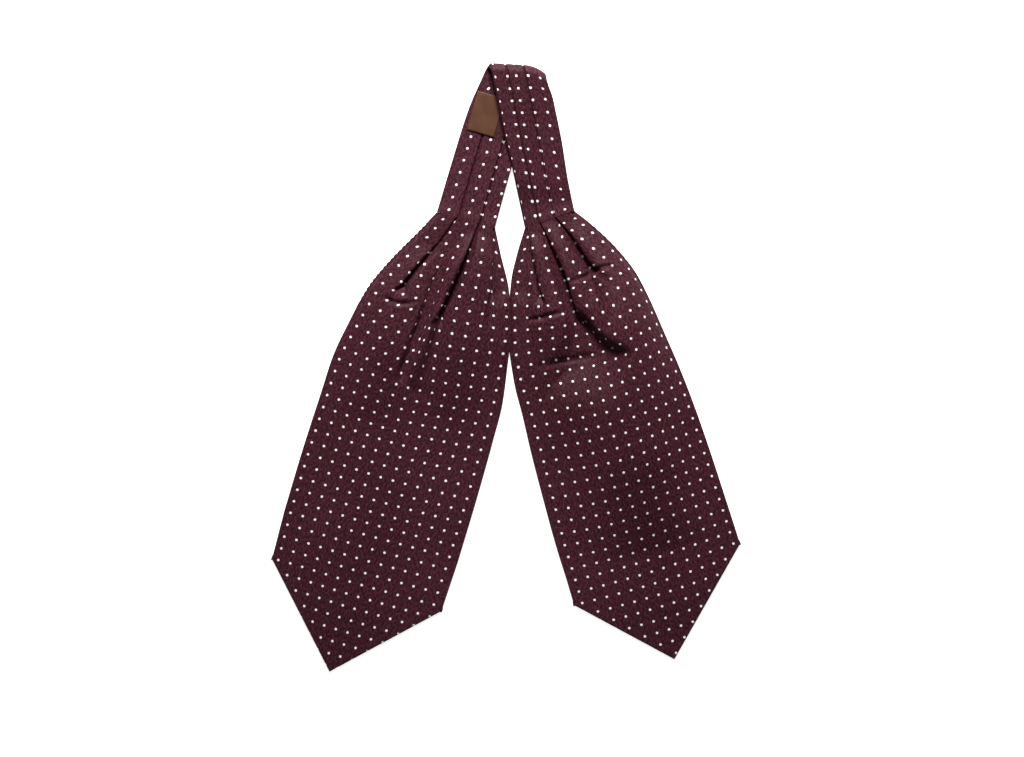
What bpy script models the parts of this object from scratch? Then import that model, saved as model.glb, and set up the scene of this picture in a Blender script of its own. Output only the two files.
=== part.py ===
"""Silk cravat, laid flat and folded in half at the back of the neck.

Frame: +Z up, the cloth lies on z = 0, +Y runs up the neckband to its fold, and the origin is under the
middle of the whole outline. All sizes below are millimetres; MM turns them to metres where a mesh is made.
"""

import math

import bpy
import numpy as np

MM = 0.001

# The cloth
WALL = 1.0
SEAM_GAP = 0.3
LAYER = WALL + 0.35          # from one folded layer to the next
STACK = 2 * LAYER            # from the lowest layer of a pleat to its top one
POINT_ROUND = 2.0            # rounding of a blade's tip
POINT_SHOULDER = 0.41        # how far that rounding's middle point stands out from its centre, in roundings

# How a pleat turns
TURN = LAYER / 2             # radius of a folded edge
HAIRPINS = ((1, 45), (1, -45), (-1, 45), (-1, -45))   # side of the pleat and angle of each point of its turns
OPEN_STEP = 0.9              # spacing of those points where the pleat has opened out
OPEN_DEPTH = 3.0             # a pleat shallower than this opens out
BRINK = 0.8                  # from the last point of the top layer to its folded edge
OPEN_BRINK = 1.6             # and so much more where the pleat has opened out
RISE = 3.2                   # run in which the cloth climbs out from under a pleat
VALLEY = 1.6                 # flat run beside a folded edge
PLEAT_ROOM = RISE + VALLEY + 2.0
PLEAT_SHAPE = 0.9            # power of a pleat's taper
PLEAT_FADE = 28.0            # length over which the end of a pleat smooths out
LAST_CLIMB = {"before": 15.0, "run": 50.0}   # the cloth inside the last pleat rises to the top level here
STACK_FADE = {"start": 90.0, "run": 120.0}   # the cloth comes down from the pleats' level to the back cloth
RIM_DROP = 6.0               # the rims come down to the back cloth over this run
RIM_BULGE = 0.45             # share of that run at half the drop
EDGE_ROUND = 0.72            # least cosine kept where a wall turns sharply

BACK_BASE = 0.0
FACE_BASE = WALL + SEAM_GAP + WALL / 2
BACK_INSET = 0.6
BACK_LENGTHS = 15
BACK_LIMITS = {"left": 2.0, "right": 3.4}    # inner rims of the back cloths, kept apart where the blades meet
SHARP_ANGLE = math.radians(40)

# Neckband
BAND_HALF_STACK = LAYER + WALL / 2
LOOP_RADIUS = 6.5            # middle of the band where it turns over
FOLD_TILT = math.radians(3.0)
FOLD_TOP = 287.5             # highest reach of the turned band
BAND_CUT = 0.15              # half of the gap at each seam

# Left blade. A row is one section across the cloth at a length below the seam. Each pair is the place of
# the outer rim, of the three folded edges and of the inner rim.
SECTION = ("length", "outer", "first", "second", "third", "inner")
LEFT_SECTIONS = (
    (0.0, (-65.5, 148.0), (-47.0, 143.0), (-26.0, 137.5), (-12.4, 133.6), (-10.4, 133.0)),
    (27.5, (-83.4, 129.5), (-63.0, 121.0), (-35.5, 113.0), (-12.0, 110.0), (-4.8, 107.0)),
    (63.0, (-108.8, 104.0), (-89.5, 91.0), (-49.0, 82.0), (-14.0, 74.0), (3.0, 72.0)),
    (99.0, (-130.8, 77.5), (-109.0, 63.5), (-64.0, 49.0), (-17.0, 39.5), (5.0, 37.5)),
    (135.0, (-148.6, 44.5), (-126.5, 32.5), (-78.0, 14.5), (-22.5, 4.0), (1.3, 1.5)),
    (170.5, (-164.0, 12.0), (-142.0, 1.5), (-90.0, -19.0), (-26.5, -30.0), (-3.3, -33.5)),
    (206.0, (-175.3, -22.5), (-153.0, -31.0), (-98.5, -49.5), (-35.3, -62.5), (-12.1, -68.0)),
    (266.0, (-193.4, -78.5), (-171.0, -85.5), (-115.5, -104.0), (-51.7, -121.0), (-28.5, -126.5)),
    (326.0, (-210.5, -135.9), (-187.8, -142.5), (-132.5, -160.0), (-69.4, -178.0), (-45.9, -184.5)),
)
LEFT_CORNERS = {"outer": (-222.3, -181.3), "tip": (-167.6, -288.4), "inner": (-61.3, -230.9)}

RIGHT_SECTIONS = (
    (0.0, (65.0, 149.0), (47.0, 143.0), (32.5, 138.0), (20.0, 133.6), (18.0, 133.0)),
    (26.0, (81.6, 136.0), (62.0, 125.5), (45.0, 112.5), (25.0, 109.0), (10.5, 108.0)),
    (56.0, (104.3, 114.5), (81.5, 97.0), (57.5, 84.0), (31.0, 79.5), (5.0, 83.0)),
    (86.0, (122.9, 91.0), (99.0, 78.5), (64.5, 59.5), (35.5, 53.0), (3.0, 54.0)),
    (116.0, (136.5, 65.0), (114.0, 52.5), (79.0, 33.0), (35.5, 27.5), (3.0, 24.0)),
    (151.5, (150.8, 32.5), (129.0, 20.5), (86.0, 3.0), (41.0, -4.5), (7.5, -12.0)),
    (187.0, (165.1, -0.5), (139.0, -14.0), (94.5, -29.5), (50.5, -39.0), (15.8, -45.5)),
    (223.0, (178.1, -34.0), (148.5, -47.0), (104.0, -63.5), (58.7, -73.0), (23.7, -79.5)),
    (270.5, (193.5, -78.0), (160.5, -90.5), (118.0, -108.5), (71.8, -119.0), (35.5, -125.0)),
    (318.5, (208.0, -122.5), (173.3, -133.5), (128.3, -151.0), (82.6, -164.0), (47.9, -170.0)),
    (350.0, (217.3, -151.2), (183.8, -163.0), (136.5, -179.0), (92.2, -191.5), (57.4, -200.3)),
)
RIGHT_CORNERS = {"outer": (222.3, -166.9), "tip": (159.9, -276.6), "inner": (64.6, -225.2)}

# Pleats of a blade, named by the folded edge, with the depth at the seam and the length at which each ends
LEFT_PLEATS = {"first": (17.0, 92.0), "second": (18.0, 104.0), "third": (14.0, 82.0)}
RIGHT_PLEATS = {"first": (15.0, 68.0), "second": (18.0, 100.0), "third": (14.0, 82.0)}

# Soft forms of each face, each a ridge (or, with a height below 0, a trough). A row is one place along its
# crest, with the height there, its reach towards the outer and the inner rim, and "crown", 1 for a dome's
# cross-section and 0 for a gentle wave.
FORM = ("place", "height", "outward", "inward", "crown")
LEFT_FORMS = {
    "outer swell": (
        ((-70.0, 114.0), 0.0, 18.0, 14.0, 0.3),
        ((-84.0, 92.0), 5.0, 26.0, 26.0, 0.5),
        ((-97.0, 62.0), 7.5, 34.0, 40.0, 0.7),
        ((-107.0, 28.0), 7.5, 42.0, 44.0, 0.6),
        ((-122.0, -8.0), 4.5, 44.0, 46.0, 0.2),
        ((-137.0, -48.0), 0.0, 40.0, 40.0, 0.0),
    ),
    "inner swell": (
        ((-24.0, 128.0), 0.0, 10.0, 12.0, 0.4),
        ((-32.0, 108.0), 6.0, 18.0, 30.0, 0.6),
        ((-38.0, 84.0), 8.5, 22.0, 36.0, 0.5),
        ((-42.0, 48.0), 7.0, 30.0, 38.0, 0.3),
        ((-48.0, 6.0), 4.5, 38.0, 40.0, 0.1),
        ((-58.0, -48.0), 0.0, 44.0, 40.0, 0.0),
    ),
    "opened pleat": (
        ((-33.0, 124.0), 0.0, 8.0, 8.0, 0.3),
        ((-44.0, 102.0), 6.0, 12.0, 9.0, 0.4),
        ((-57.0, 74.0), 9.0, 9.0, 8.0, 0.4),
        ((-69.0, 43.0), 10.0, 9.0, 8.0, 0.3),
        ((-81.0, 10.0), 6.5, 11.0, 11.0, 0.1),
        ((-90.0, -24.0), 0.0, 14.0, 14.0, 0.0),
    ),
    "hollow beside it": (
        ((-58.0, 100.0), 0.0, 5.0, 5.0, 0.0),
        ((-69.0, 77.0), -10.0, 6.5, 6.0, 0.4),
        ((-80.0, 45.0), -13.0, 7.0, 6.0, 0.4),
        ((-93.0, 11.0), -9.0, 7.5, 7.0, 0.2),
        ((-101.0, -16.0), 0.0, 9.0, 9.0, 0.0),
    ),
}
RIGHT_FORMS = {
    "shoulder": (
        ((58.0, 138.0), 0.0, 12.0, 10.0, 0.3),
        ((69.0, 124.0), 4.0, 16.0, 12.0, 0.4),
        ((82.0, 106.0), 8.0, 20.0, 14.0, 0.4),
        ((100.0, 78.0), 14.0, 27.0, 22.0, 0.5),
        ((111.0, 25.0), 21.0, 40.0, 40.0, 0.6),
        ((119.0, -24.0), 21.0, 51.0, 86.0, 0.5),
        ((130.0, -76.0), 19.0, 58.0, 98.0, 0.1),
        ((139.0, -124.0), 11.0, 62.0, 96.0, 0.0),
        ((150.0, -172.0), 0.0, 62.0, 90.0, 0.0),
    ),
    "middle swell": (
        ((38.0, 138.0), 0.0, 8.0, 8.0, 0.3),
        ((50.0, 113.0), 6.5, 16.0, 11.0, 0.5),
        ((61.0, 85.0), 9.5, 22.0, 13.0, 0.5),
        ((72.0, 59.0), 10.5, 26.0, 14.0, 0.4),
        ((86.0, 36.0), 5.0, 26.0, 14.0, 0.2),
        ((96.0, 22.0), 0.0, 20.0, 14.0, 0.0),
    ),
    "inner swell": (
        ((24.0, 128.0), 0.0, 8.0, 8.0, 0.3),
        ((31.0, 106.0), 5.5, 14.0, 12.0, 0.6),
        ((38.0, 80.0), 7.5, 20.0, 18.0, 0.7),
        ((45.0, 54.0), 8.5, 24.0, 26.0, 0.6),
        ((56.0, 20.0), 6.5, 36.0, 38.0, 0.2),
        ((62.0, -20.0), 0.0, 40.0, 44.0, 0.0),
    ),
    "dent under the middle pleat": (
        ((66.0, 54.0), 0.0, 10.0, 12.0, 0.0),
        ((76.0, 36.0), -4.0, 18.0, 24.0, 0.0),
        ((88.0, 22.0), -7.0, 22.0, 30.0, 0.0),
        ((103.0, 12.0), -6.0, 22.0, 30.0, 0.0),
        ((120.0, 8.0), 0.0, 18.0, 24.0, 0.0),
    ),
}
FORM_STEPS = 48              # pieces a crest is followed in
DOME_POWER = 0.7
MERGE = 0.35                 # how far the lower of two ridges still adds where they cross
RIM_CALM = 14.0              # forms fade to the rim's level over this run

# The left blade's inner rim rides over the right blade here
RIDE_OVER = {"centre": 44.0, "reach": 55.0, "height": 1.9, "run": 26.0, "quick": 1.6}

# Points across each stretch of a section
LEFT_STRETCHES = {"outer": 4, "first": 6, "second": 6, "inner": 5}
RIGHT_STRETCHES = {"outer": 6, "first": 6, "second": 6, "inner": 4}
FACE_LENGTHS = 25
LENGTH_EVENNESS = 0.45       # 1 spaces a face's sections evenly, 0 crowds them at the seam

# Neckband outline, in the order of travel from the left blade's seam over the fold to the right one's.
# "over" is 0 on the lower run, 1 on the upper run and 0.5 at the fold itself.
BAND = ("over", "left", "right")
BAND_OUTLINE = (
    (0.0, (-65.5, 148.0), (-10.5, 133.0)),
    (0.0, (-51.3, 195.7), (2.5, 180.0)),
    (0.0, (-35.5, 245.5), (20.0, 238.0)),
    (0.5, (-16.5, 287.0), (38.0, 283.0)),
    (1.0, (-8.6, 254.5), (45.0, 253.0)),
    (1.0, (-2.0, 222.0), (53.0, 214.5)),
    (1.0, (5.7, 190.0), (58.5, 180.0)),
    (1.0, (18.0, 133.0), (65.0, 149.0)),
)
# Folded edges of the band in shares of its width, on the lower and on the upper run
BAND_PLEATS = {
    "edge": ((0.33, 0.25), (0.70, 0.555), (1.0, 1.0)),
    "root": ((0.10, 0.02), (0.43, 0.35), (0.80, 0.66)),
}
BAND_BLEND = {"start": 0.38, "run": 0.11}    # the shares change from the lower to the upper ones here
BAND_VALLEY = 0.4
BAND_RISE = 2.6
BAND_TURN_SHARE = 0.045      # share of the band's length on each side of the fold with close sections
BAND_COUNTS = {"lower": 4, "turn": 10, "upper": 9}
# The right end of the fold is rounded off: its drop and its draw to the left, over these runs across and up
CORNER = {"from": 13.0, "run": 25.0, "drop": 6.0, "draw": 7.0, "draw_from": 16.0, "draw_run": 20.0,
          "below": 256.0, "fade": 27.0, "drop_power": 2.0, "draw_power": 2.6}
# Height of the upper run above the lower one, by its distance from the fold
DESCENT = ((0.0, 13.0), (30.0, 10.5), (62.0, 7.0), (94.0, 4.4), (100.0, 4.1), (122.0, 0.9), (142.0, 0.0))

# Label on the inner side of the lower run
LABEL = {"width": 26.8, "height": 38.5, "thick": 1.0, "place": (-19.0, 240.8), "lean": 16.2, "round": 1.0}
LABEL_CORNERS = ((1, 1), (-1, 1), (-1, -1), (1, -1))

COLOURS = {
    "silk": (0.045, 0.012, 0.019, 1.0),
    "silk under": (0.040, 0.011, 0.017, 1.0),
    "label": (0.085, 0.040, 0.028, 1.0),
}


def slopes(knots, values):
    """Slope at each knot of a curve that never overshoots its points."""
    step = np.diff(knots)
    rate = np.diff(values) / step
    found = np.zeros(len(knots))
    same = rate[:-1] * rate[1:] > 0
    before = 2 * step[1:] + step[:-1]
    after = step[1:] + 2 * step[:-1]
    inner = np.zeros(len(rate) - 1)
    inner[same] = (before + after)[same] / (before[same] / rate[:-1][same] + after[same] / rate[1:][same])
    found[1:-1] = inner
    found[0] = rate[0]
    found[-1] = rate[-1]
    return found


def through(knots, values, at):
    """A smooth curve through the points, carried on straight past both ends."""
    knots = np.asarray(knots, float)
    values = np.asarray(values, float)
    at = np.asarray(at, float)
    slope = slopes(knots, values)
    index = np.clip(np.searchsorted(knots, at, side="right") - 1, 0, len(knots) - 2)
    step = knots[index + 1] - knots[index]
    share = np.clip((at - knots[index]) / step, 0.0, 1.0)
    start = (1 + 2 * share) * (1 - share) ** 2
    finish = share ** 2 * (3 - 2 * share)
    leave = share * (1 - share) ** 2 * step
    arrive = share ** 2 * (share - 1) * step
    curve = (start * values[index] + finish * values[index + 1]
             + leave * slope[index] + arrive * slope[index + 1])
    before = np.minimum(at - knots[0], 0.0) * slope[0]
    after = np.maximum(at - knots[-1], 0.0) * slope[-1]
    return curve + before + after


def ease(share):
    share = np.clip(share, 0.0, 1.0)
    return share * share * (3 - 2 * share)


def form_height(rows, places, outer_side):
    """Height that one soft form adds at plan places; outer_side is -1 on the left blade, 1 on the right."""
    crest = np.array([row[0] for row in rows])
    knots = np.concatenate([[0.0], np.cumsum(np.linalg.norm(np.diff(crest, axis=0), axis=1))])
    travel = np.linspace(0.0, knots[-1], FORM_STEPS + 1)
    line = np.column_stack([through(knots, crest[:, k], travel) for k in (0, 1)])
    start = line[:-1]
    step = line[1:] - start
    length = np.linalg.norm(step, axis=1)
    away = places[:, None, :] - start[None, :, :]
    share = np.clip((away * step).sum(axis=2) / length ** 2, 0.0, 1.0)
    offset = away - share[:, :, None] * step
    near = np.argmin((offset ** 2).sum(axis=2), axis=1)
    each = np.arange(len(places))
    offset = offset[each, near]
    along = step[near] / length[near][:, None]
    at = travel[near] + share[each, near] * length[near]
    height, outward, inward, crown = (through(knots, [row[FORM.index(name)] for row in rows], at)
                                      for name in FORM[1:])
    outer = outer_side * (offset[:, 0] * -along[:, 1] + offset[:, 1] * along[:, 0]) > 0
    across = np.clip(np.linalg.norm(offset, axis=1) / np.where(outer, outward, inward), 0.0, 1.0)
    wave = 0.5 + 0.5 * np.cos(math.pi * across)
    dome = (1 - across ** 2) ** DOME_POWER
    return height * ((1 - crown) * wave + crown * dome)


def relief(places, forms, outer_side):
    """All soft forms together: the raised ones merge, the sunken ones are taken off."""
    raised = np.zeros(len(places))
    sunken = np.zeros(len(places))
    for rows in forms.values():
        found = form_height(rows, places, outer_side)
        if max(row[1] for row in rows) > 0:
            raised = np.maximum(raised, found) + MERGE * np.minimum(raised, found)
        else:
            sunken = sunken + found
    return np.maximum(raised + sunken, 0.0)


class Blade:
    """One blade: its sections, pleats and soft forms."""

    def __init__(self, sections, corners, pleats, forms, stretches, outer_side, ride_over):
        self.sections = sections
        self.corners = corners
        self.pleats = pleats
        self.forms = forms
        self.stretches = stretches
        self.outer_side = outer_side
        self.ride_over = ride_over
        self.lengths = [row[0] for row in sections]

    def guide(self, name, length):
        column = SECTION.index(name)
        across = through(self.lengths, [row[column][0] for row in self.sections], length)
        up = through(self.lengths, [row[column][1] for row in self.sections], length)
        return np.stack([across, up], axis=-1)

    def places(self, length):
        """Plan points of the five guides and their distances along the section."""
        points = np.array([self.guide(name, length) for name in SECTION[1:]])
        steps = np.maximum(np.linalg.norm(np.diff(points, axis=0), axis=1), 0.05)
        return points, np.concatenate([[0.0], np.cumsum(steps)])

    def pleat_depth(self, name, length, room):
        depth, end = self.pleats[name]
        wanted = depth * max(1 - length / end, 0.0) ** PLEAT_SHAPE
        return max(min(wanted, room), 0.0)

    def path(self, length):
        """Middle line of the cloth in this section: distance across and height above the lowest layer.

        Last comes the share of the soft forms at each point: the cloth beside a folded edge stays down.
        """
        points, marks = self.places(length)
        top = STACK * (1 - ease((length - STACK_FADE["start"]) / STACK_FADE["run"]))
        rim = min(RIM_DROP, 0.25 * marks[1])
        line = [(0.0, 0.0), (RIM_BULGE * rim, 0.5 * top), (rim, top)]
        raised = [1.0, 1.0, 1.0]
        level = rim
        for index, name in enumerate(("first", "second", "third")):
            gap = marks[index + 1] - marks[index]
            next_gap = marks[index + 2] - marks[index + 1]
            depth = self.pleat_depth(name, length, gap - PLEAT_ROOM)
            end = self.pleats[name][1]
            drop = top * (1 - ease((length - end) / PLEAT_FADE))
            folded_share = ease(depth / OPEN_DEPTH)
            mark = marks[index + 1] - folded_share * (TURN + WALL / 2)
            start = mark - BRINK - OPEN_BRINK * (1 - folded_share)
            count = self.stretches[SECTION[index + 1]]
            for share in np.linspace(0, 1, count + 2)[1:-1]:
                line.append((level + share * (start - level), top))
            line.append((start, top))
            raised += [1.0] * (len(line) - len(raised))
            for order, (side, angle) in enumerate(HAIRPINS):
                raised.append(1.0 if order == 0 else 1.0 - folded_share)
                turn = math.radians(angle)
                edge = mark if side > 0 else mark - depth
                folded = edge + side * TURN * math.cos(turn)
                opened = mark + OPEN_STEP * (order - 1.5)
                middle = (0.75 if side > 0 else 0.25) * drop
                across = opened + folded_share * (folded - opened)
                line.append((across, top - drop + middle + drop / 4 * math.sin(turn)))
            climb = 1.0
            if name == "third":
                climb = ease((length - end + LAST_CLIMB["before"]) / LAST_CLIMB["run"])
            foot = marks[index + 1] + 0.6 * (1 - folded_share) + min(VALLEY, 0.2 * next_gap)
            run = min(RISE, 0.3 * next_gap)
            low = top - drop
            high = low + drop * climb
            line.append((foot, low))
            line.append((foot + 0.5 * run, 0.5 * (low + high)))
            line.append((foot + run, high))
            raised += [1.0 - folded_share, 1.0 - 0.5 * folded_share, 1.0]
            level = foot + run
        finish = marks[4]
        rim = min(RIM_DROP, 0.4 * (finish - level))
        for share in np.linspace(0, 1, self.stretches["inner"] + 2)[1:-1]:
            line.append((level + share * (finish - rim - level), high))
        line.append((finish - rim, high))
        line.append((finish - RIM_BULGE * rim, 0.5 * high))
        line.append((finish, 0.0))
        raised += [1.0] * (len(line) - len(raised))
        return points, marks, np.array(line), np.array(raised)

    def plan(self, points, marks, across):
        """Plan place of a distance across, straight on past both rims."""
        flat = np.stack([np.interp(across, marks, points[:, k]) for k in (0, 1)], axis=-1)
        first = (points[1] - points[0]) / np.linalg.norm(points[1] - points[0])
        whole = points[4] - points[2]
        last = whole / np.linalg.norm(whole)
        before = np.minimum(across, 0.0)[:, None] * first
        after = np.maximum(across - marks[4], 0.0)[:, None] * last
        return flat + before + after

    def lift(self, places, across, marks, raised):
        """Height of the soft forms, calmed towards both rims, with the rim that rides over the other."""
        edge = np.minimum(across, marks[4] - across)
        calm = np.sqrt(np.clip(1 - (1 - np.clip(edge / RIM_CALM, 0, 1)) ** 2, 0, 1))
        height = relief(places, self.forms, self.outer_side) * calm * raised
        if self.ride_over:
            near = ease(1 - (marks[4] - across) / self.ride_over["run"])
            beside = ease(1 - np.abs(places[:, 1] - self.ride_over["centre"]) / self.ride_over["reach"])
            share = near * np.minimum(self.ride_over["quick"] * beside, 1.0)
            height = np.maximum(height, self.ride_over["height"] * share)
        return height

    def ring(self, length):
        """Upper and lower surface of the wall in one section."""
        points, marks, line, raised = self.path(length)
        middle = self.plan(points, marks, line[:, 0])
        height = FACE_BASE + line[:, 1] + self.lift(middle, line[:, 0], marks, raised)
        upper, lower = thicken(np.stack([line[:, 0], height], axis=-1))
        rows = []
        for side in (upper, lower):
            flat = self.plan(points, marks, side[:, 0])
            rows.append(np.column_stack([flat, side[:, 1]]))
        return rows


def thicken(line):
    """Both sides of a wall around its middle line, with square corners kept short."""
    steps = np.diff(line, axis=0)
    steps = steps / np.maximum(np.linalg.norm(steps, axis=1), 1e-6)[:, None]
    before = np.vstack([steps[:1], steps])
    after = np.vstack([steps, steps[-1:]])
    tangent = before + after
    tangent = tangent / np.maximum(np.linalg.norm(tangent, axis=1), 1e-6)[:, None]
    normal = np.column_stack([-tangent[:, 1], tangent[:, 0]])
    open_angle = np.clip((before * tangent).sum(axis=1), EDGE_ROUND, 1.0)
    offset = normal * (WALL / 2 / open_angle)[:, None]
    return line + offset, line - offset


def make_object(name, vertices, faces, material):
    mesh = bpy.data.meshes.new(name)
    mesh.from_pydata([tuple(MM * float(v) for v in point) for point in vertices], [], faces)
    mesh.validate()
    mesh.materials.append(material)
    made = bpy.data.objects.new(name, mesh)
    bpy.context.scene.collection.objects.link(made)
    bpy.ops.object.select_all(action="DESELECT")
    made.select_set(True)
    bpy.context.view_layer.objects.active = made
    bpy.ops.object.mode_set(mode="EDIT")
    bpy.ops.mesh.select_all(action="SELECT")
    bpy.ops.mesh.normals_make_consistent(inside=False)
    bpy.ops.object.mode_set(mode="OBJECT")
    mesh.shade_smooth()
    mesh.set_sharp_from_angle(angle=SHARP_ANGLE)
    return made


def wall_faces(rings, closed_end=True):
    """Faces of a wall lofted through rings of one upper and one lower row of the same count."""
    count = len(rings[0][0])
    ring_size = 2 * count
    faces = []
    for index in range(len(rings) - 1):
        base = index * ring_size
        above = base + ring_size
        for point in range(ring_size):
            following = (point + 1) % ring_size
            faces.append((base + point, base + following, above + following, above + point))
    ends = [0]
    if closed_end:
        ends.append((len(rings) - 1) * ring_size)
    for base in ends:
        for point in range(count - 1):
            opposite = ring_size - 1 - point
            faces.append((base + point, base + point + 1, base + opposite - 1, base + opposite))
    return faces


def ring_points(rings):
    points = []
    for upper, lower in rings:
        points.extend(upper)
        points.extend(lower[::-1])
    return points


def pointed_end(corners):
    """Corner, rounded tip and corner of a blade's pointed end, from the outer side to the inner one."""
    outer = np.array(corners["outer"])
    tip = np.array(corners["tip"])
    inner = np.array(corners["inner"])
    to_outer = (outer - tip) / np.linalg.norm(outer - tip)
    to_inner = (inner - tip) / np.linalg.norm(inner - tip)
    rounded = tip + POINT_ROUND * POINT_SHOULDER * (to_outer + to_inner) / np.linalg.norm(to_outer + to_inner)
    return [outer, tip + POINT_ROUND * to_outer, rounded, tip + POINT_ROUND * to_inner, inner]


def blade_face(name, blade, material):
    lengths = section_lengths(blade)
    rings = [blade.ring(length) for length in lengths]
    vertices = ring_points(rings)
    faces = wall_faces(rings, closed_end=False)
    count = len(rings[0][0])
    last = (len(rings) - 1) * 2 * count
    outline = pointed_end(blade.corners)
    top = FACE_BASE + WALL / 2
    low = FACE_BASE - WALL / 2
    upper_start = len(vertices)
    vertices.extend([(x, y, top) for x, y in outline])
    lower_start = len(vertices)
    vertices.extend([(x, y, low) for x, y in outline])
    upper_row = list(range(last, last + count))
    lower_row = [last + 2 * count - 1 - k for k in range(count)]
    upper_tip = [upper_start + k for k in range(len(outline))]
    lower_tip = [lower_start + k for k in range(len(outline))]
    faces.append(tuple(upper_row + upper_tip[::-1]))
    faces.append(tuple(lower_row + lower_tip[::-1]))
    upper_side = [upper_row[0]] + upper_tip + [upper_row[-1]]
    lower_side = [lower_row[0]] + lower_tip + [lower_row[-1]]
    for k in range(len(upper_side) - 1):
        faces.append((upper_side[k], upper_side[k + 1], lower_side[k + 1], lower_side[k]))
    return make_object(name, vertices, faces, material)


def section_lengths(blade):
    """Sections close together where the pleats end and wider apart down the plain cloth."""
    share = np.linspace(0.0, 1.0, FACE_LENGTHS)
    last = blade.lengths[-1]
    spread = LENGTH_EVENNESS * share + (1 - LENGTH_EVENNESS) * share ** 2
    return BAND_CUT + (last - BAND_CUT) * spread


def blade_back(name, blade, material, inner_limit):
    """The flat under cloth, with the same outline drawn in a little."""
    lengths = np.linspace(BAND_CUT, blade.lengths[-1], BACK_LENGTHS)
    outer = [blade.guide("outer", length) for length in lengths]
    inner = [blade.guide("inner", length) for length in lengths]
    inner = [np.array([min(x, inner_limit) if blade.outer_side < 0 else max(x, inner_limit), y])
             for x, y in inner]
    outline = outer + pointed_end(blade.corners) + inner[::-1]
    outline = inset_outline(np.array(outline), BACK_INSET)
    count = len(outline)
    vertices = [(x, y, BACK_BASE) for x, y in outline] + [(x, y, BACK_BASE + WALL) for x, y in outline]
    faces = [tuple(range(count)), tuple(range(count, 2 * count))]
    for k in range(count):
        following = (k + 1) % count
        faces.append((k, following, count + following, count + k))
    return make_object(name, vertices, faces, material)


def inset_outline(outline, distance):
    before = outline - np.roll(outline, 1, axis=0)
    after = np.roll(outline, -1, axis=0) - outline
    before = before / np.maximum(np.linalg.norm(before, axis=1), 1e-6)[:, None]
    after = after / np.maximum(np.linalg.norm(after, axis=1), 1e-6)[:, None]
    tangent = before + after
    tangent = tangent / np.maximum(np.linalg.norm(tangent, axis=1), 1e-6)[:, None]
    following = np.roll(outline, -1, axis=0)
    area = 0.5 * np.sum(outline[:, 0] * following[:, 1] - following[:, 0] * outline[:, 1])
    inward = np.column_stack([-tangent[:, 1], tangent[:, 0]]) * (1 if area > 0 else -1)
    scale = distance / np.clip((before * tangent).sum(axis=1), 0.6, 1.0)
    return outline + inward * scale[:, None]


def band_frame():
    """Directions along the fold and up from it, and the height where the cloth starts to turn over."""
    along = np.array([math.cos(FOLD_TILT), -math.sin(FOLD_TILT)])
    up = np.array([math.sin(FOLD_TILT), math.cos(FOLD_TILT)])
    turn_start = FOLD_TOP - LOOP_RADIUS - BAND_HALF_STACK
    return along, up, turn_start


def band_outline(column):
    """One edge of the band in the unfolded plane: distance along the fold and distance of travel."""
    along, up, turn_start = band_frame()
    found = []
    for row in BAND_OUTLINE:
        over = row[0]
        place = np.array(row[BAND.index(column)])
        if over == 0.5:
            found.append((place @ along, turn_start + 0.5 * math.pi * LOOP_RADIUS))
        elif over == 0.0:
            found.append((place @ along, place @ up))
        else:
            found.append((place @ along, 2 * turn_start + math.pi * LOOP_RADIUS - place @ up))
    return np.array(found)


def turned(across, travel, offset):
    """Bend the unfolded band over its fold; offset is the height in the stack towards the inner face."""
    along, up, turn_start = band_frame()
    arc = math.pi * LOOP_RADIUS
    angle = np.clip((travel - turn_start) / LOOP_RADIUS, 0.0, math.pi)
    lower = np.minimum(travel, turn_start)
    past = np.maximum(travel - turn_start - arc, 0.0)
    descent = through([row[0] for row in DESCENT], [row[1] for row in DESCENT], past)
    rise = np.where(past > 0, descent, LOOP_RADIUS * (1 - np.cos(angle)))
    reach = lower + LOOP_RADIUS * np.sin(angle) - past - offset * np.sin(angle)
    height = BAND_HALF_STACK + rise + offset * np.cos(angle)
    plan = rounded_corner(across[:, None] * along + reach[:, None] * up)
    return np.column_stack([plan, height])


def rounded_corner(plan):
    near = ease((plan[:, 1] - CORNER["below"]) / CORNER["fade"])
    right = np.maximum(plan[:, 0] - CORNER["from"], 0.0) / CORNER["run"]
    drop = CORNER["drop"] * right ** CORNER["drop_power"] * near
    draw = CORNER["draw"] * ease((plan[:, 0] - CORNER["draw_from"]) / CORNER["draw_run"])
    return plan - np.column_stack([draw * near ** CORNER["draw_power"], drop])


def band_section(share):
    """Middle line of the pleated band: distance across and height in the stack."""
    blend = ease((share - BAND_BLEND["start"]) / BAND_BLEND["run"])
    edges = [low + (high - low) * blend for low, high in BAND_PLEATS["edge"]]
    roots = [low + (high - low) * blend for low, high in BAND_PLEATS["root"]]
    return edges, roots


def band_path(share, width):
    edges, roots = band_section(share)
    line = [(0.0, LAYER)]
    for index, (edge, root) in enumerate(zip(edges, roots)):
        mark = edge * width - (TURN + WALL / 2 if index == 2 else 0.0)
        base = root * width + (TURN + WALL / 2 if index == 0 else 0.0)
        line.append((mark, LAYER))
        for side, angle in HAIRPINS:
            turn = math.radians(angle)
            end = mark if side > 0 else base
            line.append((end + side * TURN * math.cos(turn), side * LAYER / 2 + LAYER / 2 * math.sin(turn)))
        if index < 2:
            line.append((mark + BAND_VALLEY, -LAYER))
            line.append((mark + BAND_VALLEY + BAND_RISE, LAYER))
        else:
            line.append((mark + TURN, -LAYER))
    return np.array(line)


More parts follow.
